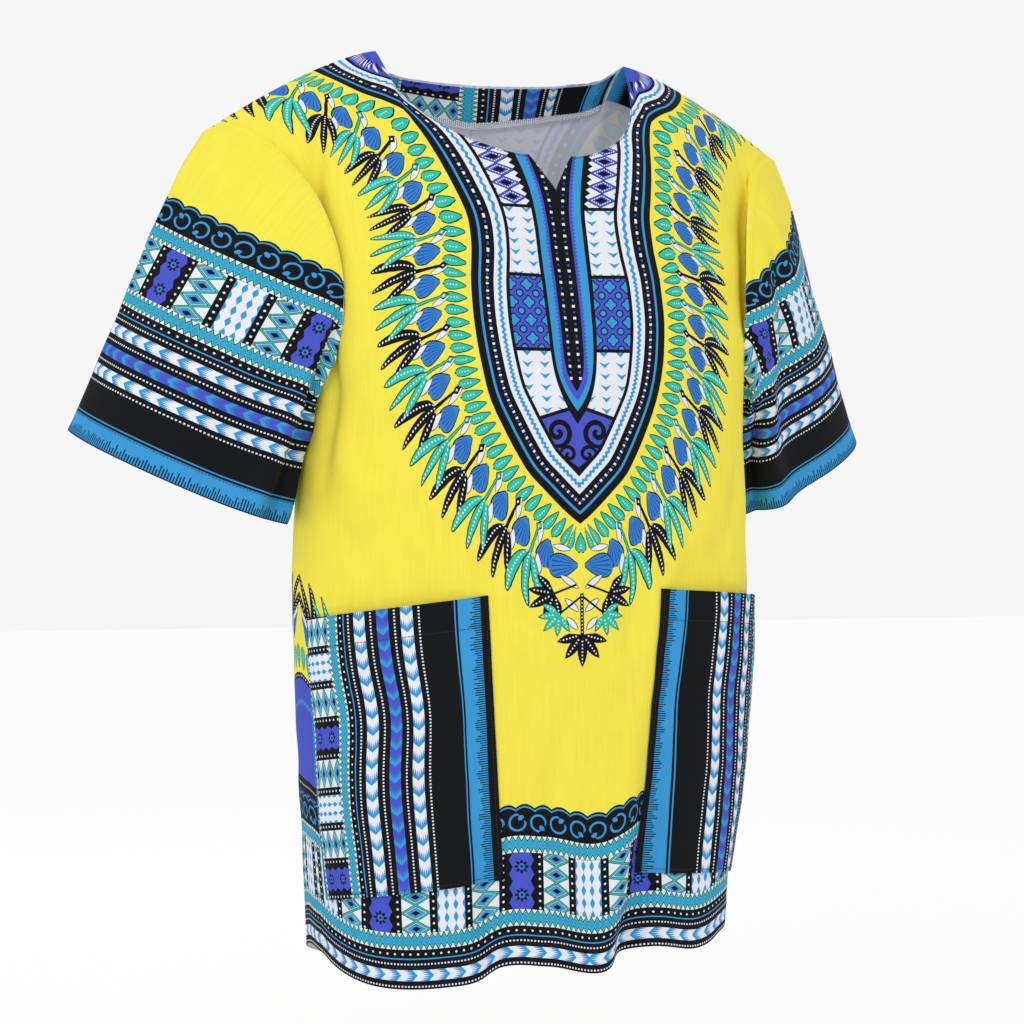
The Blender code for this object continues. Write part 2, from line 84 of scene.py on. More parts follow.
FRONT = Panel(
    side=-1,
    hem=(
        HemLift(-1.00, 0.012),
        HemLift(-0.87, 0.001),
        HemLift(-0.72, -0.007),
        HemLift(-0.48, -0.007),
        HemLift(-0.36, -0.002),
        HemLift(-0.27, 0.009),
        HemLift(-0.14, 0.009),
        HemLift(0.06, 0.002),
        HemLift(0.17, 0.013),
        HemLift(0.27, 0.018),
        HemLift(0.45, 0.014),
        HemLift(0.62, 0.024),
        HemLift(0.80, 0.028),
        HemLift(1.00, 0.018),
    ),
    folds=(
        Fold(-0.78, -0.68, -0.46, 0.006, 0.13),
        Fold(-0.44, -0.31, -0.40, -0.012, 0.06),
        Fold(-0.18, -0.12, -0.42, 0.007, 0.11),
        Fold(0.36, 0.07, -0.36, 0.009, 0.07),
        Fold(0.47, 0.18, -0.31, -0.019, 0.075),
        Fold(0.72, 0.48, -0.44, 0.007, 0.12),
        Fold(0.86, 0.78, -0.50, -0.007, 0.07),
    ),
    neck=(
        NeckPoint(1.00, 0.118, 0.000, 0.000),
        NeckPoint(0.93, 0.114, -0.019, -0.024),
        NeckPoint(0.82, 0.102, -0.046, -0.050),
        NeckPoint(0.66, 0.082, -0.072, -0.071),
        NeckPoint(0.40, 0.048, -0.094, -0.089),
        NeckPoint(0.00, 0.000, -0.104, -0.096),
    ),
    guides=(
        Guide(0.00, 0.000, 0.020, 0.190, 0.000, 0.060, 0.170),
        Guide(0.42, 0.000, 0.005, 0.270, 0.004, 0.230, 0.120),
        Guide(0.70, 0.000, -0.010, 0.250, 0.012, 0.220, 0.060),
        Guide(0.88, -0.010, -0.060, 0.230, 0.060, 0.180, 0.040),
        Guide(1.00, -0.080, -0.340, 0.150, 0.270, 0.260, 0.020),
    ),
    creases=(
        Crease(-0.224, -0.080, -0.200, 0.180, -0.0100, 0.0085),
        Crease(-0.214, 0.060, -0.186, 0.268, -0.0110, 0.0070),
        Crease(-0.236, 0.020, -0.216, 0.210, 0.0050, 0.0080),
        Crease(-0.200, 0.010, -0.170, 0.190, 0.0040, 0.0110),
        Crease(-0.250, 0.020, -0.185, 0.120, 0.0030, 0.0120),
        Crease(-0.200, 0.250, -0.130, 0.262, -0.0030, 0.0070),
        Crease(-0.235, -0.020, -0.140, -0.085, 0.0044, 0.0150),
        Crease(-0.228, -0.060, -0.160, -0.160, -0.0038, 0.0120),
        Crease(0.228, -0.020, 0.200, 0.200, -0.0060, 0.0090),
        Crease(0.238, 0.060, 0.214, 0.240, 0.0032, 0.0090),
        Crease(0.250, 0.010, 0.170, 0.080, 0.0030, 0.0130),
        Crease(0.225, -0.020, 0.120, -0.140, -0.0046, 0.0140),
        Crease(0.160, 0.190, 0.205, 0.245, 0.0026, 0.0080),
        Crease(-0.100, -0.020, -0.075, -0.220, 0.0032, 0.0170),
        Crease(0.060, -0.090, 0.045, -0.300, -0.0034, 0.0140),
        Crease(-0.060, -0.130, -0.068, -0.340, 0.0030, 0.0130),
        Crease(0.100, -0.040, 0.075, -0.210, 0.0028, 0.0130),
        Crease(-0.020, -0.220, -0.026, -0.410, -0.0030, 0.0110),
        Crease(0.020, -0.280, 0.028, -0.430, 0.0026, 0.0100),
    ),
)


def smooth_table(at, places, values):
    """Cubic interpolation through a short table, flat beyond its ends."""
    if places[0] > places[-1]:
        places, values = places[::-1], values[::-1]
    at = np.clip(np.asarray(at, float), places[0], places[-1])
    slopes = np.gradient(values, places)
    low = np.clip(np.searchsorted(places, at, side="right") - 1, 0, len(places) - 2)
    span = places[low + 1] - places[low]
    part = (at - places[low]) / span
    keep = (1 + 2 * part) * (1 - part) ** 2
    take = part**2 * (3 - 2 * part)
    leave = part * (1 - part) ** 2 * span
    arrive = part**2 * (part - 1) * span
    return keep * values[low] + take * values[low + 1] + leave * slopes[low] + arrive * slopes[low + 1]


def look_up(table, at, key, name):
    """One column of a table, read at places along another."""
    places = np.array([getattr(row, key) for row in table], float)
    return smooth_table(at, places, np.array([getattr(row, name) for row in table], float))


def hermite(start, leave, end, arrive, part):
    """A curve from start to end with those directions at its ends."""
    part = np.asarray(part)[..., None]
    return (
        (1 + 2 * part) * (1 - part) ** 2 * start
        + part * (1 - part) ** 2 * leave
        + part**2 * (3 - 2 * part) * end
        + part**2 * (part - 1) * arrive
    )


def unit(vectors):
    """The same vectors, one long."""
    return vectors / np.linalg.norm(vectors, axis=-1, keepdims=True)


def girth_point(share, height, side):
    """A point of the shirt round the body at one height. side is -1 on the front and 1 on the back."""
    half_width = look_up(GIRTHS, height, "height", "half_width")
    middle = look_up(GIRTHS, height, "height", "front" if side < 0 else "back")
    roundness = look_up(GIRTHS, height, "height", "roundness")
    depth = np.abs(middle - SIDE_SEAM_Y)
    turns = np.linspace(0.0, math.pi / 2, 181)
    across = half_width[..., None] * np.sin(turns) ** (2 / roundness[..., None])
    along = depth[..., None] * np.cos(turns) ** (2 / roundness[..., None])
    steps = np.hypot(np.diff(across, axis=-1), np.diff(along, axis=-1))
    length = np.concatenate([np.zeros(steps.shape[:-1] + (1,)), np.cumsum(steps, axis=-1)], axis=-1)
    wanted = np.abs(share) * length[..., -1]
    x, y = np.empty(wanted.shape), np.empty(wanted.shape)
    for place in np.ndindex(wanted.shape):
        x[place] = np.interp(wanted[place], length[place], across[place])
        y[place] = np.interp(wanted[place], length[place], along[place])
    return np.stack([x * np.sign(share), SIDE_SEAM_Y + side * y, height], axis=-1)


def lower_point(share, height, panel):
    """A point of a panel between the hem and the armpits, with its large folds."""
    step = 0.004
    along = girth_point(np.clip(share + step, -1, 1), height, panel.side)
    along = along - girth_point(np.clip(share - step, -1, 1), height, panel.side)
    level = np.zeros(along.shape[:-1])
    outward = unit(np.stack([along[..., 1], -along[..., 0], level], axis=-1) * -panel.side)
    out = np.zeros(np.shape(share))
    for fold in panel.folds:
        way = np.clip((fold.top_height - height) / (fold.top_height - HEM_HEIGHT), 0.0, 1.1)
        middle = fold.top_share + (fold.hem_share - fold.top_share) * way
        growth = way * way * (3 - 2 * np.minimum(way, 1.0)) ** 0.5
        hold = 1 - np.abs(share) ** 8
        out += fold.out * growth * hold * np.exp(-(((share - middle) / fold.half_width) ** 2))
    return girth_point(share, height, panel.side) + outward * out[..., None]


def top_point(share, panel):
    """Where a column ends: on the neckline, or on the shoulder line outside the neck points."""
    size = np.abs(share)
    along_neck = np.clip(size / NECK_SHARE, 0, 1)
    past = np.clip((size - NECK_SHARE) / (1 - NECK_SHARE), 0, 1)
    tip_x, tip_y, tip_z = SHOULDER_TIP
    on_shoulder = [
        NECK_HALF_WIDTH + (tip_x - NECK_HALF_WIDTH) * past,
        tip_y * past,
        tip_z * past**SHOULDER_ROUNDNESS,
    ]
    on_neck = [look_up(panel.neck, along_neck, "share", name) for name in ("x", "y", "z")]
    point = [np.where(size <= NECK_SHARE, n, s) for n, s in zip(on_neck, on_shoulder)]
    if panel.side < 0:
        into_notch = np.clip(1 - point[0] / NOTCH_HALF_WIDTH, 0, 1)
        point[1] = point[1] - NOTCH_LEAN * NOTCH_DEPTH * into_notch
        point[2] = point[2] - NOTCH_DEPTH * into_notch
    point[0] = point[0] * np.sign(share)
    return np.stack(point, axis=-1)


def eased_top(share, panel):
    """The top line with its corners rounded off, which the chest and upper back follow lower down."""
    total = 0
    for step in range(-EASE_STEPS, EASE_STEPS + 1):
        moved = share + EASE_WIDTH * step / EASE_STEPS
        beyond = np.abs(moved) > 1
        point = top_point(np.where(beyond, np.sign(moved) * 2 - moved, moved), panel)
        corner = top_point(np.sign(moved), panel)
        total = total + np.where(beyond[..., None], 2 * corner - point, point)
    eased = total / (2 * EASE_STEPS + 1)
    hold = np.clip((np.abs(share) - (1 - EASE_WIDTH)) / EASE_WIDTH, 0, 1)[..., None]
    return eased + (top_point(share, panel) - eased) * hold


def crease_depth(creases, across, up):
    """How far the small creases stand out on the flat cloth. Each fades at its ends and wavers."""
    out = np.zeros(np.shape(across))
    for number, crease in enumerate(creases):
        start = np.array([crease.from_across, crease.from_up])
        run = np.array([crease.to_across, crease.to_up]) - start
        length = math.hypot(*run)
        ahead = ((across - start[0]) * run[0] + (up - start[1]) * run[1]) / length
        aside = ((across - start[0]) * -run[1] + (up - start[1]) * run[0]) / length
        part = np.clip(ahead / length, 0, 1)
        aside = aside + crease.half_width * 0.55 * np.sin(2.2 * math.pi * part + 1.7 * number)
        fade = np.sin(math.pi * part) ** (0.8 + 0.3 * (number % 3))
        out += crease.out * fade * np.exp(-((aside / crease.half_width) ** 2))
    return out


# How fast each wave turns across and up, in radians a metre, and how far it stands out, in metres
HANDLE_WAVES = (
    (61.0, 23.0, 0.00042), (-37.0, 71.0, 0.00036), (113.0, 47.0, 0.00020), (29.0, -131.0, 0.00018),
)


def handle_waves(across, up, seed):
    """The faint unevenness of cotton that has been folded and worn."""
    out = np.zeros(np.shape(across))
    for number, (turn_across, turn_up, size) in enumerate(HANDLE_WAVES):
        bend = 1.3 * np.sin(17.0 * up + 11.0 * across + seed)
        out += size * np.sin(turn_across * across + turn_up * up + bend + seed * (number + 1))
    return out


def grid_normals(grid, side):
    """Unit normals of a panel's grid that point to the front, side -1, or to the back, side 1."""
    normal = unit(np.cross(np.gradient(grid, axis=1), np.gradient(grid, axis=0)))
    return normal if np.sum(normal[..., 1]) * side > 0 else -normal


def panel_sheet(panel, seed):
    """A panel's points from hem to top, its wall directions, and each point's place on the flat cloth."""
    half = np.concatenate(
        [
            np.linspace(0.0, NOTCH_SHARE, 7),
            np.linspace(NOTCH_SHARE, NECK_SHARE, 28)[1:],
            np.linspace(NECK_SHARE, 1.0, 46)[1:],
        ]
    )
    shares = np.concatenate([-half[:0:-1], half])
    foot = HEM_HEIGHT + look_up(panel.hem, shares, "share", "lift")
    lower = np.linspace(0, 1, BODY_ROWS + 1)[:, None]
    height = foot + (ARMPIT_HEIGHT - foot) * lower
    share = np.broadcast_to(shares, height.shape)
    body = lower_point(share, height, panel)
    size = np.abs(shares)
    leave = np.stack([look_up(panel.guides, size, "share", "leave_" + name) for name in "xyz"], axis=-1)
    arrive = np.stack([look_up(panel.guides, size, "share", "arrive_" + name) for name in "xyz"], axis=-1)
    turn = np.where(shares < 0, -1.0, 1.0)
    leave[:, 0] *= turn
    arrive[:, 0] *= turn
    ends = eased_top(shares, panel)
    corner = top_point(shares, panel) - ends
    parts = np.linspace(0, 1, YOKE_ROWS + 1)[1:]
    chest = [
        hermite(body[-1], leave, ends, arrive, np.full(len(shares), part)) + corner * part**CORNER_REACH
        for part in parts
    ]
    grid = np.concatenate([body, np.array(chest)])
    up = np.zeros(grid.shape[:2])
    up[: BODY_ROWS + 1] = height - ARMPIT_HEIGHT
    climbs = np.linalg.norm(np.diff(grid[BODY_ROWS:], axis=0), axis=-1)
    up[BODY_ROWS + 1 :] = np.cumsum(climbs, axis=0)
    across = np.broadcast_to(shares * HALF_GIRTH, grid.shape[:2])
    normals = grid_normals(grid, panel.side)
    hold = 1 - np.abs(shares) ** 14
    from_top = np.clip((up[-1] - up) / 0.016, 0, 1)
    out = crease_depth(panel.creases, across, up) + handle_waves(across, up, seed)
    from_seam = (1 - np.abs(shares)) * HALF_GIRTH
    pucker = 1 + 0.35 * np.sin(up * 240.0 + 3.0 * np.sin(up * 61.0 + seed))
    beside_seam = np.exp(-(((from_seam - 0.0075) / 0.0042) ** 2))
    roll = SEAM_ROLL * beside_seam * pucker * np.clip(up / 0.02, 0, 1)
    grid = grid + normals * ((out * hold + roll) * from_top)[..., None]
    return grid, normals, np.stack([across, up], axis=-1), foot


def join_seams(front_normals, back_normals, shares):
    """Gives both panels the same wall direction along their shared seams."""
    for edge in (0, -1):
        shared = unit(front_normals[: BODY_ROWS + 1, edge] + back_normals[: BODY_ROWS + 1, edge])
        front_normals[: BODY_ROWS + 1, edge] = shared
        back_normals[: BODY_ROWS + 1, edge] = shared
    shoulder = np.abs(shares) >= NECK_SHARE - 1e-9
    shared = unit(front_normals[-1, shoulder] + back_normals[-1, shoulder])
    front_normals[-1, shoulder] = shared
    back_normals[-1, shoulder] = shared


def cloth_shell(name, outer, inner, closed_round, maps, material):
    """A thin shell of cloth between two grids of points, with UV maps in metres of flat cloth."""
    rows, columns = outer.shape[:2]
    spans = columns if closed_round else columns - 1
    mesh = bmesh.new()
    row_of = mesh.verts.layers.int.new("row")
    column_of = mesh.verts.layers.int.new("column")
    wrong_side = mesh.verts.layers.float.new("wrong_side")
    bmesh.ops.create_grid(mesh, x_segments=spans, y_segments=rows - 1, size=1.0)
    for vert in mesh.verts:
        vert[row_of] = round((vert.co.y + 1) / 2 * (rows - 1))
        vert[column_of] = round((vert.co.x + 1) / 2 * spans)
        vert.co = outer[vert[row_of], vert[column_of] % columns]
    sheet = mesh.faces[:]
    second = bmesh.ops.extrude_face_region(mesh, geom=sheet)
    for vert in second["geom"]:
        if isinstance(vert, bmesh.types.BMVert):
            vert.co = inner[vert[row_of], vert[column_of] % columns]
            vert[wrong_side] = 1.0
    bmesh.ops.recalc_face_normals(mesh, faces=mesh.faces[:])
    for edge in mesh.edges:
        # A cut edge of the cloth is square: its corners are where two of the three sides meet
        sides = {sum(v[wrong_side] for v in face.verts) for face in edge.link_faces}
        if len(sides) > 1:
            edge.smooth = False
    if closed_round:
        # The tube's two long edges meet. Their rim walls go, and the edges are sewn into one
        rim = [f for f in mesh.faces if all(v[column_of] in (0, spans) for v in f.verts)
               and len({v[column_of] for v in f.verts}) == 1]
        bmesh.ops.delete(mesh, geom=rim, context="FACES")
        bmesh.ops.remove_doubles(mesh, verts=mesh.verts[:], dist=WELD_DISTANCE)
        bmesh.ops.recalc_face_normals(mesh, faces=mesh.faces[:])
    data = bpy.data.meshes.new(name)
    mesh.to_mesh(data)
    mesh.free()
    data.shade_smooth()
    data.materials.append(material)
    lay_maps(data, maps, rows, spans)
    obj = bpy.data.objects.new(name, data)
    bpy.context.scene.collection.objects.link(obj)
    return obj


def lay_maps(data, maps, rows, spans):
    """Writes each map of flat places onto the shell, and one map without overlaps for baking."""
    verts, corners, faces = len(data.vertices), len(data.loops), len(data.polygons)
    row, column, wrong = np.zeros(verts, int), np.zeros(verts, int), np.zeros(verts)
    data.attributes["row"].data.foreach_get("value", row)
    data.attributes["column"].data.foreach_get("value", column)
    data.attributes["wrong_side"].data.foreach_get("value", wrong)
    vertex, start = np.zeros(corners, int), np.zeros(faces, int)
    data.loops.foreach_get("vertex_index", vertex)
    data.polygons.foreach_get("loop_start", start)
    quads = vertex[start[:, None] + np.arange(4)]
    # In a tube the last column is sewn onto the first, so its corners count as one turn on
    quad_column = column[quads]
    turned = (quad_column.max(axis=1) == spans - 1) & (quad_column.min(axis=1) == 0) & (spans > 2)
    quad_column = np.where(turned[:, None] & (quad_column == 0), spans, quad_column)
    quad_row, quad_wrong = row[quads], wrong[quads]
    for name, places in maps.items():
        layer = data.uv_layers.new(name=name)
        layer.data.foreach_set("uv", places[quad_row, quad_column].reshape(-1))
    part_across = quad_column / spans
    part_up = quad_row / (rows - 1)
    # The right side fills the map's left half, the wrong side its right half, and the rim a row at its foot
    bake = np.stack([0.01 + 0.48 * part_across, 0.03 + 0.96 * part_up], axis=-1)
    wrong_share = quad_wrong.mean(axis=1)
    bake[wrong_share > 0.99, :, 0] += 0.5
    rim = np.flatnonzero((wrong_share > 0.01) & (wrong_share < 0.99))
    width = 0.98 / max(len(rim), 1)
    square = np.array([[0.1, 0.1], [0.9, 0.1], [0.9, 0.9], [0.1, 0.9]])
    corner = np.stack([0.01 + width * np.arange(len(rim)), np.full(len(rim), 0.004)], axis=-1)
    bake[rim] = square * [width, 0.018] + corner[:, None]
    layer = data.uv_layers.new(name="OFBake")
    layer.data.foreach_set("uv", bake.reshape(-1))


STITCH_PITCH = 0.0031
STITCH_SHARE = 0.62
THREAD_WIDTH = 0.0005
THREAD_HEIGHT = 0.0004
THREAD_LIFT = 0.00012


def stitch_rows(name, paths, pitch=STITCH_PITCH, across=0.0, thread_colour=None):
    """Rows of stitches as one mesh: small blocks of thread along paths of points with their normals.

    across is the length of a stitch that crosses the path, as the threads of a serged edge do."""
    mesh = bmesh.new()
    for points, normals in paths:
        steps = np.linalg.norm(np.diff(points, axis=0), axis=1)
        length = np.concatenate([[0], np.cumsum(steps)])
        at = np.arange(pitch, length[-1] - pitch / 2, pitch)
        centres = np.stack([np.interp(at, length, points[:, axis]) for axis in range(3)], axis=-1)
        outs = unit(np.stack([np.interp(at, length, normals[:, axis]) for axis in range(3)], axis=-1))
        ahead = unit(np.gradient(centres, axis=0))
        aside = unit(np.cross(outs, ahead))
        run = across or pitch * STITCH_SHARE
        if across:
            ahead, aside = unit(aside + ahead * 0.35), unit(ahead - aside * 0.35)
        made = [bmesh.ops.create_cube(mesh, size=1.0)["verts"] for _ in at]
        for verts, centre, out, long_way, short_way in zip(made, centres, outs, ahead, aside):
            for vert in verts:
                x, y, z = vert.co
                place = centre + long_way * (x * run) + short_way * (y * THREAD_WIDTH)
                vert.co = place + out * (THREAD_LIFT + z * THREAD_HEIGHT)
    data = bpy.data.meshes.new(name)
    mesh.to_mesh(data)
    mesh.free()
    thread = bpy.data.materials.new(name + "_thread")
    thread.use_nodes = True
    shader = thread.node_tree.nodes["Principled BSDF"]
    shader.inputs["Base Color"].default_value = thread_colour or BLACK
    shader.inputs["Roughness"].default_value = 0.6
    data.materials.append(thread)
    obj = bpy.data.objects.new(name, data)
    bpy.context.scene.collection.objects.link(obj)
    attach(obj, "root")
    return obj


def at_height(grid, normals, flat, foot, above):
    """The line across a panel that lies a given height above its hem."""
    line = foot - ARMPIT_HEIGHT + above
    rows = np.arange(len(flat))
    row = np.array([np.interp(up, flat[:, column, 1], rows) for column, up in enumerate(line)])
    column = np.arange(len(line), dtype=float)
    return on_grid(grid, row, column), on_grid(normals, row, column)


def on_grid(grid, row, col):
    """Points of a grid at rows and columns that may lie between its own."""
    low_row = np.clip(np.floor(row).astype(int), 0, grid.shape[0] - 2)
    low_col = np.clip(np.floor(col).astype(int), 0, grid.shape[1] - 2)
    up, over = (row - low_row)[..., None], (col - low_col)[..., None]
    foot = grid[low_row, low_col] * (1 - over) + grid[low_row, low_col + 1] * over
    top = grid[low_row + 1, low_col] * (1 - over) + grid[low_row + 1, low_col + 1] * over
    return foot * (1 - up) + top * up


def sheet_area(grid):
    """Area of a grid of points, in square metres."""
    one = np.cross(grid[1:, 1:] - grid[:-1, :-1], grid[:-1, 1:] - grid[1:, :-1])
    return float(np.linalg.norm(one, axis=-1).sum() / 2)


class Ink:
    """One value in a material's nodes. Arithmetic on it adds Math nodes beside it."""

    def __init__(self, tree, socket=None):
        self.tree, self.socket = tree, socket

    def node(self, kind, settings=(), sockets=(), output=0):
        """Adds a node: its settings first, then a value or a link for each socket that is named."""
        made = self.tree.nodes.new(kind)
        for name, value in dict(settings).items():
            setattr(made, name, value)
        for name, value in dict(sockets).items():
            if isinstance(value, Ink):
                self.tree.links.new(value.socket, made.inputs[name])
            else:
                made.inputs[name].default_value = value
        return Ink(self.tree, made.outputs[output])

    def math(self, operation, *others):
        """A Math node on this value and the others that its operation takes."""
        return self.node("ShaderNodeMath", {"operation": operation}, enumerate((self, *others)))

    def __add__(self, other):
        return self.math("ADD", other)

    def __sub__(self, other):
        return self.math("SUBTRACT", other)

    def __rsub__(self, other):
        return self.node("ShaderNodeMath", {"operation": "SUBTRACT"}, {0: other, 1: self})

    def __mul__(self, other):
        return self.math("MULTIPLY", other)

    def __truediv__(self, other):
        return self.math("DIVIDE", other)

    def __pow__(self, other):
        return self.math("POWER", other)

    def __mod__(self, other):
        return self.math("FLOORED_MODULO", other)

    def __lt__(self, other):
        return self.math("LESS_THAN", other)

    def __gt__(self, other):
        return self.math("GREATER_THAN", other)

    def __and__(self, other):
        return self.math("MULTIPLY", other)

    def __or__(self, other):
        return self.math("MAXIMUM", other)

    def __abs__(self):
        return self.math("ABSOLUTE")

    __radd__, __rmul__ = __add__, __mul__

    def paint(self, mask, colour):
        """This colour with another printed over it where the mask is 1."""
        return self.node(
            "ShaderNodeMix", {"data_type": "RGBA"}, {0: mask, 6: self, 7: colour}, output=2
        )


def dye(code):
    """A screen colour, as two hex digits each of red, green and blue, in Blender's linear values."""
    parts = [int(code[place : place + 2], 16) / 255 for place in (0, 2, 4)]
    return tuple(((p + 0.055) / 1.055) ** 2.4 if p > 0.04045 else p / 12.92 for p in parts) + (1.0,)


YELLOW = dye("EBDC4A")
BLACK = dye("0F1013")
WHITE = dye("DCE0E8")
LIGHT_BLUE = dye("3692CB")
FLOWER_BLUE = dye("3379C5")
VEIN_BLUE = dye("20489A")
PURPLE_BLUE = dye("4552BE")
TEAL = dye("2EB9A1")
WRONG_SIDE = dye("D8DBE6")
SERGED_GREY = dye("8A8D95")


def near(value, pitch):
    """Distance to the nearest whole number of pitches."""
    return value.math("PINGPONG", pitch / 2)


def band(value, low, high):
    """1 between low and high."""
    return value.math("COMPARE", (low + high) / 2, (high - low) / 2)


def root(value):
    """The square root, or 0 below 0."""
    return value.math("MAXIMUM", 0.0).math("SQRT")


def clipped(value):
    """The value kept between 0 and 1."""
    return value.math("MAXIMUM", 0.0).math("MINIMUM", 1.0)


def radius(across, up):
    """Distance from the motif's middle."""
    return root(across * across + up * up)


def dot(across, up, size):
    """1 inside a round dot of that radius."""
    return radius(across, up) < size


def drop_edge(across, up, length, half_width):
    """Below 0 inside a drop that starts as a point at up 0 and ends round."""
    part = clipped(up / length)
    return abs(across) - part * root(1 - part) * (half_width / 0.385)


def leaf_edge(across, up, length, half_width):
    """Below 0 inside a leaf with a point at each end."""
    part = clipped(up / length)
    return abs(across) - part * (1 - part) * (4 * half_width)


def outlined(ground, edge, inside, colour, line=0.9):
    """Prints a shape with a black line round it."""
    return ground.paint((edge < line) & inside, BLACK).paint((edge < 0.0) & inside, colour)


# Repeats of the border's motifs along the cloth, in millimetres, and the middle of a tile of beads
SCALLOP = 15.6
CURL = 17.6
TOOTH = 4.9
TILE_REPEAT = 59.0
BEADS_MIDDLE = 106.5
LOZENGE = 13.0
CHEVRON = 13.6
# The border's scalloped edge stands this far above the hem
BORDER_HEIGHT = 132.0


def border_print(ground, along, down):
    """The border over a ground, in millimetres along the cloth and down from its scalloped edge."""
    edge = near(along, SCALLOP) / (SCALLOP / 2)
    below = down - edge * edge * 3.2
    colour = ground.paint(below > 0.0, BLACK).paint(band(below, 1.7, 3.1), LIGHT_BLUE)
    # Curls: open rings with a small leaf at the opening, every other one upside down
    from_curl = along + 14.7
    curl_across = (from_curl % CURL) - CURL / 2
    turned = 1 - ((from_curl / (2 * CURL)) % 1.0 > 0.5) * 2.0
    curl_up = (down - 15.2) * turned
    reach = radius(curl_across, curl_up)
    corner = curl_across + curl_up
    curl = band(reach, 5.6, 7.3) & (corner < 7.4)
    stem = band(curl_across - curl_up, -1.0, 1.0) & band(corner, 4.6, 10.0)
    leaf = leaf_edge(curl_across - curl_up + 1.2, corner - 2.4, 8.0, 2.6) < 0.0
    colour = colour.paint((curl | stem | leaf) & band(down, 5.4, 25.0), LIGHT_BLUE)
    # Two bands of teeth, above and below the tiles
    from_edge = 6.75 - near(down - 32.75, 60.0)
    tooth = 4.4 - near(along, TOOTH) * (4.4 * 2 / TOOTH)
    teeth = (from_edge > 0.0) & band(down, 25.0, 101.0)
    colour = colour.paint(teeth, LIGHT_BLUE)
    colour = colour.paint(teeth & (from_edge < tooth + 2.2), TEAL)
    colour = colour.paint(teeth & (from_edge < tooth + 0.6), BLACK)
    colour = colour.paint(teeth & (from_edge < tooth - 0.7), WHITE)
    # Tiles: dotted strips between lozenges, flowers and strings of beads
    tiles = band(down, 39.8, 85.8)
    place = along % TILE_REPEAT
    upper = down - 39.5
    from_strip = near(along - 3.25, TILE_REPEAT / 2)
    lozenge = abs(place - 18.0) / 11.5 + near(upper - 4.0, LOZENGE) / (LOZENGE / 2)
    on_lozenge = tiles & band(place, 6.5, 29.5)
    colour = colour.paint(on_lozenge, WHITE)
    colour = colour.paint(on_lozenge & (lozenge < 1.16), BLACK)
    colour = colour.paint(on_lozenge & (lozenge < 1.07), TEAL)
    colour = colour.paint(on_lozenge & (lozenge < 0.90), BLACK)
    colour = colour.paint(on_lozenge & (lozenge < 0.81), WHITE)
    colour = colour.paint(on_lozenge & (lozenge < 0.74), LIGHT_BLUE)
    colour = colour.paint(on_lozenge & (lozenge < 0.34), BLACK)
    in_tile = place - 47.5
    on_other = tiles & band(place, 36.0, 59.0)
    beads = (along / (2 * TILE_REPEAT)) % 1.0 > 0.5
    bead_width = 2.75 + (upper * 0.62).math("COSINE") * 0.95
    colour = colour.paint(on_other & beads, LIGHT_BLUE)
    colour = colour.paint(on_other & beads & (near(in_tile, 7.6) < bead_width), WHITE)
    flower_up = near(upper - 11.6, 23.25)
    flower_reach = radius(in_tile, flower_up)
    petals = in_tile.math("ARCTAN2", flower_up) * 8.0
    flower = flower_reach < petals.math("COSINE") * 1.3 + 4.6
    colour = colour.paint(on_other & (1 - beads), PURPLE_BLUE)
    bow = (abs(in_tile) > near(flower_up, 11.6) * 0.5 + 7.2) & (1 - beads)
    colour = colour.paint(on_other & bow, BLACK)
    colour = colour.paint(on_other & (1 - beads) & flower, BLACK)
    colour = colour.paint(on_other & (1 - beads) & (flower_reach < 2.7), FLOWER_BLUE)
    colour = colour.paint(on_other & (1 - beads) & (flower_reach < 1.1), BLACK)
    strip = tiles & (from_strip < 3.25)
    colour = colour.paint(strip, BLACK).paint(strip & dot(from_strip, near(upper - 3.0, 6.0), 0.95), WHITE)
    # Dots, a thin line, and three rows of chevrons between rows of fine dots
    colour = colour.paint(dot(near(along, 6.4), down - 103.3, 0.9), WHITE)
    colour = colour.paint(band(down, 106.6, 107.7), LIGHT_BLUE)
    from_dots = near(down - 111.5, 18.2)
    fine = (from_dots.math("MAXIMUM", near(along, 2.8)) < 0.68) & band(down, 108.0, 170.0)
    colour = colour.paint(fine, WHITE)
    chevrons = (from_dots > 4.6) & band(down, 114.0, 164.0)
    arm = 9.1 - from_dots
    arrow = (along + arm * 0.95) % CHEVRON
    streak = near(arm, 1.5)
    middle = band(down, 130.0, 148.0)
    colour = colour.paint(chevrons, WHITE).paint(chevrons & middle, PURPLE_BLUE)
    # Each arrowhead ends in streaks: behind its solid tip the blue shows between white threads
    colour = colour.paint(chevrons & (arrow > 10.6 - streak * 7.0), FLOWER_BLUE)
    colour = colour.paint(chevrons & (arrow > CHEVRON - 3.0 - streak * 2.6), LIGHT_BLUE)
    # The end band, hatched from the cloth's edge
    colour = colour.paint(band(down, 193.0, 194.1), LIGHT_BLUE)
    strand = (along / 1.9).math("FLOOR")
    chance = strand.node("ShaderNodeTexWhiteNoise", {"noise_dimensions": "1D"}, {1: strand})
    hatch = (near(along - 0.95, 1.9) < 0.42) & (down > 209.5 - chance * 5.5)
    colour = colour.paint(band(down, 196.0, 214.0), LIGHT_BLUE)
    colour = colour.paint(hatch & band(down, 196.0, 216.0), BLACK)
    return colour


# Repeats of the sprigs and the drops along a yoke, in millimetres
SPRIG = 28.0
SPRIG_LEAN = 0.45
DROP = 11.4
# The sprigs' heads lie this far inside the ring's line, and the edging's bands are this wide
RING_DEPTH = 19.0
EDGING_WIDTH = 33.0

Finger = namedtuple("Finger", "cell_start begin length bow half_width")
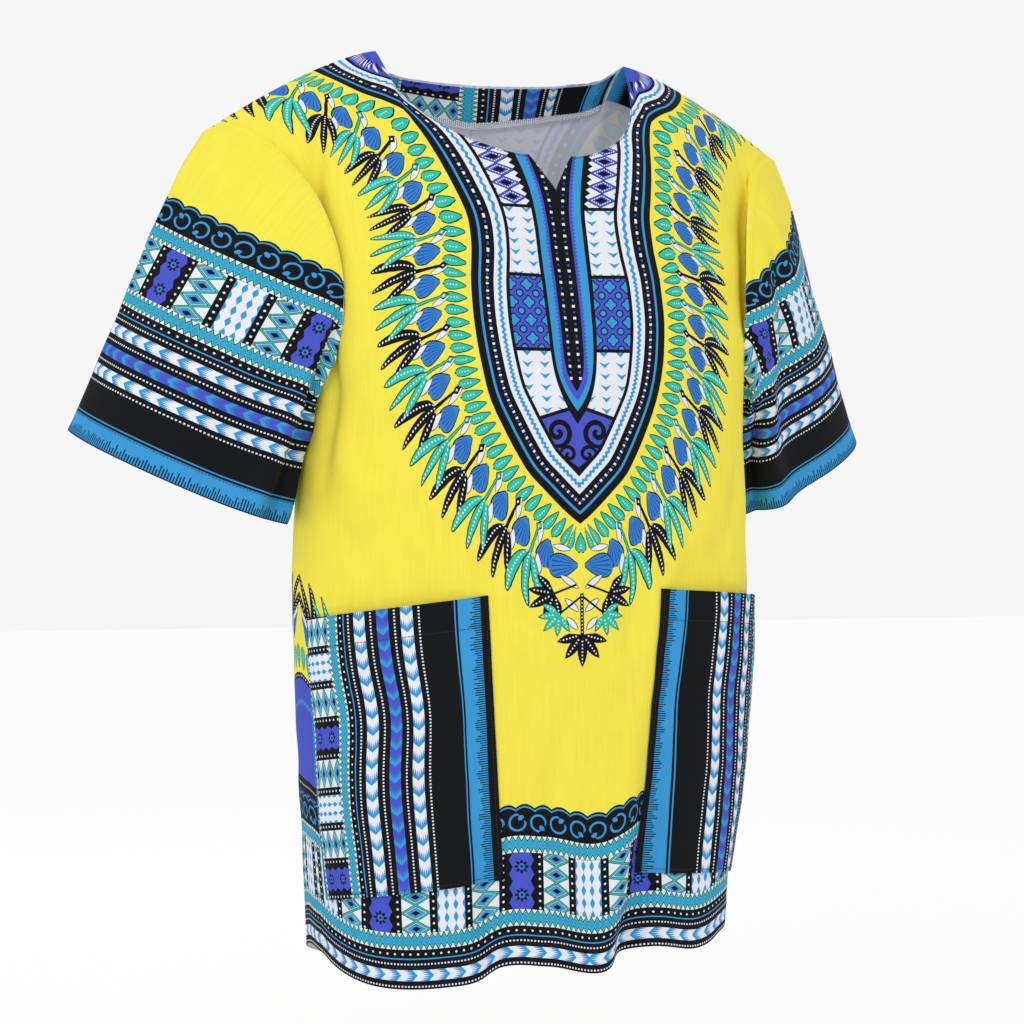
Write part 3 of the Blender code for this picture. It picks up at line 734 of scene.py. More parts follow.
# The fingers of a sprig, in millimetres from its head: where each starts, how far it grows and how it bends
FINGERS = (
    Finger(-7.5, 24.0, 37.0, 17.0, 4.5),
    Finger(-15.0, 24.0, 37.0, 1.0, 3.9),
    Finger(-20.5, 24.0, 29.0, -12.0, 4.3),
)


def cell(value, start, pitch):
    """The place within a repeat that begins at start."""
    return ((value - start) % pitch) + start


def sprigs_print(colour, along, up, first):
    """A row of leaning three-fingered sprigs on stems, in teal and black by turns, from the first one."""
    slid = along + (up - 3.0) * SPRIG_LEAN
    edge, teal, pips = None, None, None
    for finger in FINGERS:
        across = cell(slid, finger.cell_start, SPRIG)
        is_teal = ((slid - finger.cell_start) / (2 * SPRIG)) % 1.0 < 0.5
        grown = slid - finger.cell_start > SPRIG * first
        part = clipped((up - finger.begin) / finger.length)
        axis = root(part) * finger.bow - part * part * 5.0
        aside = abs(across - axis)
        width = root(part * (1 - part)) * (1.16 - part * 0.42) * (2.0 * finger.half_width)
        one = aside - width + (1 - (band(up, finger.begin, finger.begin + finger.length) & grown)) * 9.0
        dots = dot(near(up, 2.8), aside, 0.72) & (one < -1.1)
        edge = one if edge is None else edge.math("MINIMUM", one)
        teal = (one < -0.75) & is_teal if teal is None else teal | ((one < -0.75) & is_teal)
        pips = dots if pips is None else pips | dots
    across = cell(slid, -SPRIG / 2, SPRIG)
    is_teal = ((slid + SPRIG / 2) / (2 * SPRIG)) % 1.0 < 0.5
    grown = slid + SPRIG / 2 > SPRIG * first
    stem = abs(across) - up * 0.022 - 1.0 + (1 - (band(up, 4.0, 29.0) & grown)) * 9.0
    head = abs(across) + abs(up - 3.2) * 0.8 - 3.4 + (1 - grown) * 9.0
    whole = stem.math("MINIMUM", head).math("MINIMUM", edge)
    colour = colour.paint(whole < 0.15, BLACK)
    fill = (stem < -0.5) | (head < -1.0)
    colour = colour.paint(teal | (fill & is_teal), TEAL)
    return colour.paint(pips | (head < -2.4), WHITE)


def flower_print(colour, across, up, length, half_width):
    """One fan-shaped flower that opens along up, with dark veins."""
    edge = drop_edge(across, up, length, half_width)
    scallop = near(across + 20.0, 4.2) * 0.5
    inside = up < length + 0.4 - scallop
    colour = outlined(colour, edge, band(up, 0.5, length + 0.9), FLOWER_BLUE, 1.1)
    fan = near(across / (abs(up) + 3.0), 0.17)
    veins = (fan < 0.026) & (edge < -1.2) & band(up, 5.0, length - 2.5) & inside
    return colour.paint(veins, VEIN_BLUE)


def white_leaf(colour, across, up, length, half_width):
    """A thin white leaf that grows along up, with a fine outline."""
    return outlined(colour, leaf_edge(across, up, length, half_width), band(up, 0.0, length), WHITE, 0.7)


def palmette_print(colour, across, up, size, ink_colour):
    """A fan of five pointed leaves that grows along up from its foot, with a dotted vein in each."""
    turn = across.math("ARCTAN2", up)
    reach = radius(across, up)
    petal = near(turn, 0.66)
    edge = reach - (1 - petal * 1.45) * size * (1 - abs(turn) * 0.10)
    inside = abs(turn) < 1.65
    colour = colour.paint((edge < 0.0) & inside, BLACK).paint((edge < -1.1) & inside, ink_colour)
    dots = dot(near(reach, 2.9), petal * reach, 0.7) & inside & (edge < -3.0)
    return colour.paint(dots & (reach > 4.0), WHITE)


def aimed(across, up, foot_across, foot_up, turn):
    """Across and up for a motif that stands at a foot and grows in a direction turned from straight up."""
    over, rise = across - foot_across, up - foot_up
    cosine, sine = math.cos(turn), math.sin(turn)
    return over * cosine - rise * sine, over * sine + rise * cosine


def ring_print(colour, along, up, from_yoke, first):
    """The ring round a yoke: a row of drops, then sprigs in two colours with flowers and white leaves."""
    drop_across = (along % DROP) - DROP / 2
    drop = drop_edge(drop_across, from_yoke - 4.0, 19.0, 4.1)
    colour = outlined(colour, drop, band(from_yoke, 4.0, 24.0), TEAL)
    pips = dot(drop_across, near(from_yoke, 2.5), 0.6) & band(from_yoke, 10.5, 20.0)
    colour = colour.paint(pips, WHITE)
    slid = along + (up - 3.0) * SPRIG_LEAN
    between = cell(slid, 0.0, SPRIG) - SPRIG / 2
    ring = band(up, -3.0, 66.0) & (slid > SPRIG * 0.5 * first)
    before = colour
    leaning = between + (up - 8.0) * 0.30
    colour = flower_print(colour, between + 0.4, up - 5.0, 21.0, 9.0)
    colour = white_leaf(colour, leaning - 9.8, up + 1.5, 15.0, 2.7)
    colour = white_leaf(colour, between * 0.94 + (up - 24.0) * 0.34 - 5.5, up - 20.5, 13.0, 2.6)
    colour = sprigs_print(colour, along, up, first)
    return before.paint(ring, colour)


def edging_print(colour, along, from_yoke):
    """The bands along a yoke's edge, from outside in: black, a line, dots, and white with a wavy line."""
    colour = colour.paint(from_yoke < 0.0, BLACK).paint(band(from_yoke, -8.4, -6.3), LIGHT_BLUE)
    dot_up = from_yoke + 13.8
    colour = colour.paint(near(along, 7.4).math("MAXIMUM", abs(dot_up)) < 1.15, WHITE)
    colour = colour.paint(dot(near(along + 3.7, 7.4), dot_up, 0.95), PURPLE_BLUE)
    colour = colour.paint(band(from_yoke, -30.0, -19.3), WHITE)
    wave = near(along, 5.4) * 0.72 - 1.0
    return colour.paint(abs(from_yoke + 24.6 + wave) < 1.45, LIGHT_BLUE)


def neck_ring_print(colour, along, from_yoke, inside):
    """Purple cloth with small white and black leaves, between the edging and the neck."""
    colour = colour.paint(inside, PURPLE_BLUE)
    slid = along + from_yoke * 0.7
    leaf = leaf_edge((slid % 6.6) - 3.3, (from_yoke * -1.0) - 34.5, 12.0, 1.3)
    colour = colour.paint(inside & (leaf < 0.0), WHITE)
    other = leaf_edge(((slid + 3.3) % 6.6) - 3.3, (from_yoke * -1.0) - 37.0, 14.0, 1.2)
    return colour.paint(inside & (other < 0.0), BLACK)


def bird_marks(colour, half, up, on):
    """Rows of small blue marks like gulls in flight, on a white panel."""
    colour = colour.paint(on, WHITE)
    mark_across = near(half - 27.2, 15.2)
    mark = abs((up % 9.6) - mark_across * 0.72 - 2.6) < 1.8 - mark_across * 0.35
    return colour.paint(on & mark & (mark_across < 4.8), LIGHT_BLUE)


# The side seam's place across a panel, and the arch's height over the border, in millimetres
SEAM_ACROSS = 255.0
ARCH_HEIGHT = 103.0


def side_print(colour, half, from_hem):
    """Half of the figure at a side seam: a purple arch on the border, with a ring of sprigs round it."""
    from_side = SEAM_ACROSS - half
    rise = from_hem - BORDER_HEIGHT
    reach = radius(from_side * 1.6, rise)
    turn = (from_side * 1.6).math("ARCTAN2", rise)
    from_arch = reach - ARCH_HEIGHT
    along = turn * 86.0
    near_side = (from_side < 125.0) & (from_hem > 100.0) & (from_arch < 88.0)
    before = colour
    colour = ring_print(colour, along, from_arch - 23.0, from_arch, 1)
    colour = colour.paint(from_arch < 0.0, BLACK).paint(from_arch < -5.0, PURPLE_BLUE)
    colour = colour.paint(dot(near(along, 5.0), from_arch + 2.5, 0.8), WHITE)
    zigzag = near(along, 7.0) * 0.9 + from_arch + 23.0
    colour = colour.paint(band(zigzag, -1.1, 1.1), LIGHT_BLUE)
    colour = colour.paint(band(rise, 0.0, 12.0) & (from_arch < -5.0), BLACK)
    colour = colour.paint(dot(near(along, 5.0), rise - 6.0, 0.9) & (from_arch < -6.0), WHITE)
    return before.paint(near_side, colour)


def arch(up, half_width, starts, ends):
    """Half the width of a strip that narrows to a point."""
    part = clipped((starts - up) / (starts - ends))
    return (1 - part**4.0) * half_width


# The wrong side's attribute is 1 there and falls to 0 over the cloth's cut edge
WRONG_FROM = 0.97
WRONG_PALENESS = 0.82


def wrong_of(ink):
    """1 on the wrong side of the cloth."""
    return ink.node("ShaderNodeAttribute", {"attribute_name": "wrong_side"}, output=2) > WRONG_FROM


def finished(colour, shader, flat_u, flat_v, plain=1.0):
    """Slight changes in depth of colour, slubs, a paler wrong side, and the relief of the weave."""
    places = colour.node("ShaderNodeCombineXYZ", {}, {0: flat_u, 1: flat_v})
    cloudy = colour.node("ShaderNodeTexNoise", {}, {0: places, "Scale": 0.035, "Detail": 3.0})
    thread = colour.node("ShaderNodeTexNoise", {}, {0: places, "Scale": 0.9, "Detail": 1.0})
    slub_places = colour.node("ShaderNodeCombineXYZ", {}, {0: flat_u, 1: flat_v * 0.05})
    slub = colour.node("ShaderNodeTexNoise", {}, {0: slub_places, "Scale": 0.45, "Detail": 1.0})
    shade = cloudy * 0.10 + thread * 0.10 + slub * 0.12 + 0.84
    grey = colour.node("ShaderNodeCombineXYZ", {}, {0: shade, 1: shade, 2: shade})
    deepen = {"data_type": "RGBA", "blend_type": "MULTIPLY"}
    colour = colour.node("ShaderNodeMix", deepen, {0: 1.0, 6: colour, 7: grey}, output=2)
    colour = colour.paint(wrong_of(colour) * WRONG_PALENESS * plain, WRONG_SIDE)
    weave = near(flat_u, 0.9) + near(flat_v, 0.9) + thread * 0.25
    relief = colour.node("ShaderNodeBump", {}, {"Strength": 0.22, "Distance": 0.00025, "Height": weave})
    tree = colour.tree
    tree.links.new(colour.socket, shader.inputs["Base Color"])
    tree.links.new(relief.socket, shader.inputs["Normal"])


def map_places(ink, name):
    """One of a piece's maps, as two values in millimetres."""
    places = ink.node("ShaderNodeUVMap", {"uv_map": name})
    split = places.node("ShaderNodeSeparateXYZ", {}, {0: places})
    other = Ink(split.tree, split.socket.node.outputs[1])
    return split * 1000.0, other * 1000.0


def ground_of(ink, colour):
    """A plain colour as an Ink, to print on."""
    return ink.node("ShaderNodeMix", {"data_type": "RGBA"}, {0: 0.0, 6: colour, 7: colour}, output=2)


OutlinePoint = namedtuple("OutlinePoint", "across up")
# Half of the yoke's edge, from the tip to the shoulder line, and half of the line that the sprigs follow
FRONT_YOKE = (
    OutlinePoint(0, -100), OutlinePoint(9, -93), OutlinePoint(30, -73), OutlinePoint(44, -58),
    OutlinePoint(54, -42), OutlinePoint(65, -22), OutlinePoint(76, 2), OutlinePoint(82, 27),
    OutlinePoint(86, 62), OutlinePoint(85, 100), OutlinePoint(80, 135), OutlinePoint(79, 158),
    OutlinePoint(84, 184), OutlinePoint(92, 221), OutlinePoint(98, 248), OutlinePoint(106, 266),
    OutlinePoint(120, 277), OutlinePoint(137, 286), OutlinePoint(149, 297), OutlinePoint(158, 310),
    OutlinePoint(163, 324), OutlinePoint(166, 345),
)
FRONT_RING = (
    OutlinePoint(0, -140), OutlinePoint(20, -134), OutlinePoint(36, -123), OutlinePoint(58, -101),
    OutlinePoint(88, -62), OutlinePoint(113, -15), OutlinePoint(123, 21), OutlinePoint(126, 70),
    OutlinePoint(124, 105), OutlinePoint(119, 141), OutlinePoint(119, 160), OutlinePoint(124, 185),
    OutlinePoint(133, 212), OutlinePoint(146, 236), OutlinePoint(163, 255), OutlinePoint(180, 271),
    OutlinePoint(195, 290), OutlinePoint(206, 312), OutlinePoint(214, 340),
)


def ring_places(flat, outline):
    """How far along half an outline each place of a panel lies, and how far outside it, in metres.

    Past the outline's end the way goes straight on."""
    points = np.array([(p.across, p.up) for p in outline], float) / 1000
    steps = np.concatenate([[0], np.cumsum(np.linalg.norm(np.diff(points, axis=0), axis=1))])
    at = np.linspace(0, steps[-1], 900)
    line = np.stack([smooth_table(at, steps, points[:, axis]) for axis in (0, 1)], axis=-1)
    heading = unit(np.gradient(line, axis=0))
    along = np.concatenate([[0], np.cumsum(np.linalg.norm(np.diff(line, axis=0), axis=1))])
    places = np.stack([np.abs(flat[..., 0]), flat[..., 1]], axis=-1).reshape(-1, 2)
    nearest = np.array([np.argmin(np.sum((line - place) ** 2, axis=1)) for place in places])
    offset = places - line[nearest]
    ahead = np.sum(offset * heading[nearest], axis=1)
    aside = offset[:, 0] * heading[nearest, 1] - offset[:, 1] * heading[nearest, 0]
    at_end = nearest == len(at) - 1
    far = np.where(at_end, np.abs(aside), np.linalg.norm(offset, axis=1))
    gone = along[nearest] + np.where(at_end, ahead, 0.0)
    return np.stack([gone, np.sign(aside) * far], axis=-1).reshape(flat.shape)


Palmette = namedtuple("Palmette", "across up turn size dyed")
Leaf = namedtuple("Leaf", "across up turn length")
Coil = namedtuple("Coil", "across up pitch line size way")
# The motifs below the yoke's tip and the coils on its shield, in millimetres on the right half of the front
FRONT_PALMETTES = (
    Palmette(24.0, -157.0, 2.05, 24.5, BLACK),
    Palmette(20.0, -174.0, 2.35, 20.0, TEAL),
    Palmette(0.0, -191.0, math.pi, 27.0, BLACK),
)
FRONT_LEAVES = (
    Leaf(3.0, -153.0, 0.95, 19.0), Leaf(3.0, -172.0, 0.85, 16.0),
    Leaf(4.0, -187.0, 0.75, 14.0), Leaf(9.0, -121.0, 1.35, 16.0),
)
FRONT_TWIGS = (Leaf(5.0, -150.0, 1.92, 22.0), Leaf(1.0, -160.0, 2.2, 23.0))
SHIELD_COILS = (Coil(17.5, -24.0, 8.2, 2.2, 13.2, 1), Coil(8.6, -42.5, 6.4, 1.6, 8.4, -1))


def front_print(ink, shader):
    """The front's print: the ring and the yoke with its panels and placket strip, and the border."""
    across, up = map_places(ink, "flat")
    along, out = map_places(ink, "ring")
    from_yoke, from_hem = map_places(ink, "edges")
    half = abs(across)
    colour = side_print(ground_of(ink, YELLOW), half, from_hem)
    colour = ring_print(colour, along, out + RING_DEPTH, from_yoke, 2)
    # Below the tip of the yoke: a pair of flowers, a stem, and palmettes on each side and at the end
    colour = flower_print(colour, up + 134.0, half - 2.5, 26.0, 9.5)
    stem = (half < 1.6) & band(up, -192.0, -157.0)
    colour = colour.paint(stem, BLACK).paint(dot(half, near(up, 3.0), 0.6) & stem, WHITE)
    for palmette in FRONT_PALMETTES:
        leaf_across, leaf_up = aimed(half, up, palmette.across, palmette.up, palmette.turn)
        colour = palmette_print(colour, leaf_across, leaf_up, palmette.size, palmette.dyed)
    for leaf in FRONT_LEAVES:
        leaf_across, leaf_up = aimed(half, up, leaf.across, leaf.up, leaf.turn)
        colour = white_leaf(colour, leaf_across, leaf_up, leaf.length, 2.3)
    for twig in FRONT_TWIGS:
        twig_across, twig_up = aimed(half, up, twig.across, twig.up, twig.turn)
        colour = colour.paint((abs(twig_across) < 0.9) & band(twig_up, 0.0, twig.length), BLACK)
    colour = edging_print(colour, along, from_yoke)
    inside = from_yoke < -EDGING_WIDTH
    at_neck = up > 262.0
    colour = neck_ring_print(colour, along, from_yoke, inside & at_neck)
    # The panels down each side of the placket
    panels = inside & (1 - at_neck)
    colour = bird_marks(colour, half, up, panels)
    in_column = half - (up - 171.0) * 0.23 - 36.0
    lozenge = abs(in_column) / 12.0 + near(up - 178.0, 12.8) / 6.4
    column = panels & band(up, 171.0, 262.0)
    colour = colour.paint(column, WHITE).paint(column & (lozenge < 1.08), BLACK)
    colour = colour.paint(column & (lozenge < 0.99), PURPLE_BLUE)
    colour = colour.paint(column & band(lozenge, 0.60, 0.76) & (near(in_column, 1.9) < 0.55), WHITE)
    colour = colour.paint(column & (lozenge < 0.44), BLACK)
    notch = abs(in_column) > near(up - 178.0, 6.4) * 1.2 + 9.9
    colour = colour.paint(column & notch & (lozenge > 1.08), BLACK)
    quatrefoil = panels & band(up, 46.0, 107.0)
    cell_across, cell_up = near(half - 36.5, 15.0), near(up - 53.8, 15.4)
    reach = radius(cell_across, cell_up)
    corner_reach = radius(7.5 - cell_across, 7.7 - cell_up)
    lobe = (cell_across.math("ARCTAN2", cell_up) * 4.0).math("COSINE") * 0.8
    lobes = reach - lobe < 4.1
    colour = colour.paint(quatrefoil, PURPLE_BLUE)
    colour = colour.paint(quatrefoil & band(reach - lobe, 4.1, 5.2), BLACK)
    colour = colour.paint(quatrefoil & band(corner_reach, 2.4, 3.5), BLACK)
    colour = colour.paint(quatrefoil & (corner_reach < 2.4), LIGHT_BLUE)
    colour = colour.paint(quatrefoil & lobes, LIGHT_BLUE)
    bars = band(up, 168.4, 171.4) | band(up, 107.0, 110.0) | band(up, 43.2, 46.2)
    colour = colour.paint(panels & bars, BLACK)
    # The shield under them, with a pair of coils above a smaller pair
    shield_top = half * -0.30 - 4.0
    shield = inside & (up < shield_top)
    colour = colour.paint(inside & (up < shield_top + 3.2), BLACK).paint(shield, PURPLE_BLUE)
    for coil in SHIELD_COILS:
        over, rise = half - coil.across, up - coil.up
        reach = radius(over, rise)
        winding = over.math("ARCTAN2", rise) * (coil.way * coil.pitch / (2 * math.pi))
        line = near(reach + winding, coil.pitch) < coil.line
        colour = colour.paint(shield & line & (reach < coil.size), BLACK)
    colour = colour.paint(shield & (up < half * 0.7 - 53.0), BLACK)
    # The placket strip down the middle, edged in two blues. Its bands part towards the neck
    rising = clipped((up - 150.0) / 80.0)
    spread = half - rising * rising * 14.0
    colour = colour.paint((spread < arch(up, 22.0, 92.0, -17.0)) & (1 - at_neck), BLACK)
    colour = colour.paint((spread < arch(up, 18.6, 82.0, -6.5)) & (1 - at_neck), LIGHT_BLUE)
    teeth = near(up, 3.4) * 1.2 + 10.8
    edged = (spread < teeth) & (spread < arch(up, 15.5, 74.0, 2.0))
    colour = colour.paint(edged & (1 - at_neck), PURPLE_BLUE)
    strip = (spread < arch(up, 9.3, 60.0, 9.8)) & (1 - at_neck)
    colour = colour.paint(strip, BLACK)
    square = abs(spread - 4.2).math("MAXIMUM", near(up, 10.4))
    colour = colour.paint(strip & (square < 1.15), WHITE)
    colour = colour.paint(strip & dot(spread - 4.2, near(up + 5.2, 10.4), 0.95), PURPLE_BLUE)
    # The border's motifs are mirrored about the middle of the front, at a tile of beads
    mirrored = BEADS_MIDDLE + 6 * TILE_REPEAT - abs(across - 3.0)
    colour = border_print(colour, mirrored, BORDER_HEIGHT - from_hem)
    finished(colour, shader, across, up)


def printed_cotton(name):
    """A matt cotton material: the material, its nodes and its shader."""
    material = bpy.data.materials.new(name)
    material.use_nodes = True
    shader = material.node_tree.nodes["Principled BSDF"]
    shader.inputs["Roughness"].default_value = 0.82
    shader.inputs["Specular IOR Level"].default_value = 0.14
    return material, Ink(material.node_tree), shader


front_grid, front_normals, front_flat, front_foot = panel_sheet(FRONT, 0.4)
front_material, ink, shader = printed_cotton("front_cotton")
front_print(ink, shader)


def edge_places(flat, outline, foot):
    """How far each place lies outside a yoke's edge, and above the hem."""
    from_hem = flat[..., 1] - (foot - ARMPIT_HEIGHT)
    return np.stack([ring_places(flat, outline)[..., 1], from_hem], axis=-1)


front_maps = {
    "flat": front_flat,
    "ring": ring_places(front_flat, FRONT_RING),
    "edges": edge_places(front_flat, FRONT_YOKE, front_foot),
}

# Back panel. The same cotton, cut in one with the back of the dropped shoulders and sewn to the front at the
# sides and the shoulders. Its neckline is shallow, and its print puts a shorter yoke over the same ring and
# border.
BACK = Panel(
    side=1,
    hem=(
        HemLift(-1.00, 0.012),
        HemLift(-0.86, 0.016),
        HemLift(-0.55, -0.004),
        HemLift(-0.20, 0.004),
        HemLift(0.15, -0.003),
        HemLift(0.60, 0.004),
        HemLift(0.84, 0.016),
        HemLift(1.00, 0.018),
    ),
    folds=(
        Fold(-0.70, -0.74, -0.36, 0.010, 0.10),
        Fold(-0.44, -0.46, -0.30, -0.013, 0.09),
        Fold(-0.16, -0.14, -0.34, 0.012, 0.11),
        Fold(0.14, 0.18, -0.28, -0.012, 0.09),
        Fold(0.42, 0.46, -0.36, 0.011, 0.10),
        Fold(0.72, 0.76, -0.40, -0.009, 0.09),
    ),
    neck=(
        NeckPoint(1.00, 0.118, 0.000, 0.000),
        NeckPoint(0.90, 0.110, 0.021, -0.008),
        NeckPoint(0.66, 0.082, 0.044, -0.013),
        NeckPoint(0.35, 0.044, 0.057, -0.015),
        NeckPoint(0.00, 0.000, 0.061, -0.016),
    ),
    guides=(
        Guide(0.00, 0.000, 0.010, 0.280, 0.000, -0.070, 0.230),
        Guide(0.42, 0.000, 0.020, 0.300, 0.004, -0.200, 0.120),
        Guide(0.70, 0.000, 0.020, 0.260, 0.012, -0.200, 0.060),
        Guide(0.88, -0.010, 0.070, 0.230, 0.060, -0.180, 0.040),
        Guide(1.00, -0.060, 0.220, 0.180, 0.220, -0.200, 0.020),
    ),
    creases=(
        Crease(-0.232, -0.010, -0.176, 0.200, -0.0072, 0.0120),
        Crease(-0.214, 0.000, -0.150, 0.170, 0.0052, 0.0130),
        Crease(-0.240, -0.010, -0.120, -0.110, 0.0058, 0.0150),
        Crease(-0.236, -0.050, -0.150, -0.160, -0.0044, 0.0130),
        Crease(0.234, 0.000, 0.182, 0.190, -0.0070, 0.0110),
        Crease(0.216, 0.010, 0.164, 0.150, 0.0048, 0.0120),
        Crease(0.240, -0.020, 0.100, -0.130, 0.0056, 0.0160),
        Crease(0.238, -0.070, 0.160, -0.180, -0.0040, 0.0120),
        Crease(-0.090, 0.215, 0.070, 0.232, 0.0034, 0.0130),
        Crease(-0.120, 0.120, -0.100, -0.170, -0.0056, 0.0180),
        Crease(-0.060, 0.080, -0.052, -0.140, 0.0040, 0.0160),
        Crease(0.100, 0.110, 0.120, -0.180, 0.0056, 0.0180),
        Crease(0.048, 0.060, 0.056, -0.200, -0.0046, 0.0170),
        Crease(0.010, 0.030, -0.010, -0.240, 0.0038, 0.0150),
        Crease(-0.180, -0.120, -0.170, -0.340, -0.0046, 0.0140),
        Crease(0.190, -0.100, 0.180, -0.320, 0.0046, 0.0150),
        Crease(0.050, -0.200, 0.062, -0.430, -0.0036, 0.0120),
        Crease(-0.060, -0.220, -0.054, -0.430, 0.0034, 0.0130),
    ),
)
back_grid, back_normals, back_flat, back_foot = panel_sheet(BACK, 2.1)
join_seams(front_normals, back_normals, front_flat[0, :, 0] / HALF_GIRTH)
front = cloth_shell(
    "front_panel", front_grid, front_grid - front_normals * CLOTH, False, front_maps, front_material
)

BACK_YOKE = (
    OutlinePoint(0, 128), OutlinePoint(25, 132), OutlinePoint(50, 145), OutlinePoint(70, 168),
    OutlinePoint(84, 200), OutlinePoint(94, 234), OutlinePoint(105, 261), OutlinePoint(120, 277),
    OutlinePoint(137, 287), OutlinePoint(149, 299), OutlinePoint(158, 313), OutlinePoint(163, 326),
    OutlinePoint(166, 345),
)
BACK_RING = (
    OutlinePoint(0, 88), OutlinePoint(32, 93), OutlinePoint(66, 109), OutlinePoint(95, 136),
    OutlinePoint(114, 168), OutlinePoint(125, 198), OutlinePoint(137, 224), OutlinePoint(152, 243),
    OutlinePoint(168, 258), OutlinePoint(184, 274), OutlinePoint(197, 292), OutlinePoint(207, 313),
    OutlinePoint(214, 342),
)


def back_print(ink, shader):
    """The back's print: the ring, a shorter yoke and the border, and the facing's end on the wrong side."""
    across, up = map_places(ink, "flat")
    along, out = map_places(ink, "ring")
    from_yoke, from_hem = map_places(ink, "edges")
    half = abs(across)
    colour = side_print(ground_of(ink, YELLOW), half, from_hem)
    colour = ring_print(colour, along, out + RING_DEPTH, from_yoke, 2)
    # Below the middle of the yoke the two rows meet in a pair of flowers and a palmette
    colour = flower_print(colour, up - 94.0, half - 2.5, 22.0, 8.5)
    leaf_across, leaf_up = aimed(half, up, 0.0, 78.0, math.pi)
    colour = palmette_print(colour, leaf_across, leaf_up, 27.0, BLACK)
    colour = edging_print(colour, along, from_yoke)
    inside = from_yoke < -EDGING_WIDTH
    colour = bird_marks(colour, half, up, inside)
    colour = colour.paint(inside & (half < 1.3), BLACK)
    colour = neck_ring_print(colour, along, from_yoke, inside & (up > 306.0 + half * -0.1))
    mirrored = BEADS_MIDDLE + 6 * TILE_REPEAT - half
    colour = border_print(colour, mirrored, BORDER_HEIGHT - from_hem)
    # Inside, the facing's fringed end band shows past the neck points, above the facing's serged edge
    from_top, _ = map_places(ink, "top")
    end = wrong_of(ink) & band(half, 106.0, 175.0) & (from_top < 47.0)
    fringe = near(from_top + half * 0.5, 2.0) * 6.0 + half
    serged = end & (from_top > 40.5)
    colour = colour.paint(end, LIGHT_BLUE).paint(end & (fringe > 119.0), BLACK)
    colour = colour.paint(serged, SERGED_GREY).paint(serged & (near(half + from_top, 2.0) < 0.6), WHITE)
    finished(colour, shader, across, up, 1 - end)


back_material, ink, shader = printed_cotton("back_cotton")
back_print(ink, shader)
back_maps = {
    "flat": back_flat,
    "ring": ring_places(back_flat, BACK_RING),
    "edges": edge_places(back_flat, BACK_YOKE, back_foot),
    "top": np.stack([back_flat[-1, :, 1] - back_flat[..., 1], back_flat[..., 0]], axis=-1),
}
back = cloth_shell(
    "back_panel", back_grid, back_grid - back_normals * CLOTH, False, back_maps, back_material
)
for piece, node in ((front, "front"), (back, "back")):
    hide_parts(node)
    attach(piece, "root")
at_neck = np.abs(front_flat[0, :, 0]) < NECK_SHARE * HALF_GIRTH - 1e-6
trims = []
for name, grid, normals, flat, foot in (
    ("front", front_grid, front_normals, front_flat, front_foot),
    ("back", back_grid, back_normals, back_flat, back_foot),
):
    below_edge = np.full(grid.shape[1], len(grid) - 2.2)
    columns = np.arange(grid.shape[1], dtype=float)
    neck_line = [on_grid(layer, below_edge, columns)[at_neck] for layer in (grid, normals)]
    hem_line = at_height(grid, normals, flat, foot, STITCHED_ABOVE_EDGE)
    trims.append(stitch_rows(name + "_stitches", [hem_line, neck_line]))
for panel, grid, flat, trim in (
    (front, front_grid, front_flat, trims[0]), (back, back_grid, back_flat, trims[1]),
):
    # The area of each panel's grid is worked out here; the result is not kept
    sheet_area(grid)

# Sleeves. Two wide straight tubes of the same cotton, cut across the cloth so that the border print runs
# round the arm, and set into the dropped armholes.
SLEEVE_ROWS = 60
SLEEVE_GIRTH = 0.46
SLEEVE_LENGTH = 0.27
# Where the sleeve's print starts round the arm, and the border's edge over the cuff, in millimetres
SLEEVE_PRINT_START = 193.0
SLEEVE_PRINT_HEIGHT = 215.0
Cuff = namedtuple("Cuff", "name side outer inner front_reach creases")
# Each sleeve's creases: round the arm from the shoulder over the front, and down from the armhole
CUFFS = (
    Cuff("sleeve_right", -1, (0.378, 0.040, -0.327), (0.216, -0.030, -0.401), (0.006, -0.060, -0.014), (
        Crease(0.160, -0.010, 0.196, 0.170, -0.0085, 0.0095),
        Crease(0.182, -0.010, 0.214, 0.150, 0.0080, 0.0085),
        Crease(0.138, 0.010, 0.160, 0.120, 0.0036, 0.0100),
        Crease(0.060, 0.070, 0.092, 0.240, -0.0024, 0.0160),
        Crease(0.110, 0.120, 0.130, 0.260, 0.0026, 0.0150),
        Crease(0.290, -0.010, 0.262, 0.170, -0.0070, 0.0100),
        Crease(0.326, 0.020, 0.300, 0.190, 0.0046, 0.0120),
        Crease(0.392, 0.060, 0.372, 0.230, -0.0026, 0.0160),
    )),
    Cuff("sleeve_left", 1, (0.366, 0.046, -0.317), (0.214, -0.008, -0.396), (0.004, -0.058, -0.012), (
        Crease(0.150, -0.010, 0.190, 0.180, -0.0080, 0.0100),
        Crease(0.176, -0.010, 0.210, 0.140, 0.0066, 0.0085),
        Crease(0.092, 0.010, 0.128, 0.190, -0.0046, 0.0110),
        Crease(0.070, 0.020, 0.100, 0.210, 0.0038, 0.0120),
        Crease(0.118, 0.030, 0.146, 0.150, 0.0034, 0.0100),
        Crease(0.284, -0.010, 0.258, 0.150, -0.0064, 0.0100),
        Crease(0.318, 0.030, 0.286, 0.210, 0.0044, 0.0130),
        Crease(0.410, 0.050, 0.380, 0.200, 0.0026, 0.0150),
    )),
)
SleeveGuide = namedtuple("SleeveGuide", "turn leave_x leave_y leave_z arrive_x arrive_y arrive_z")
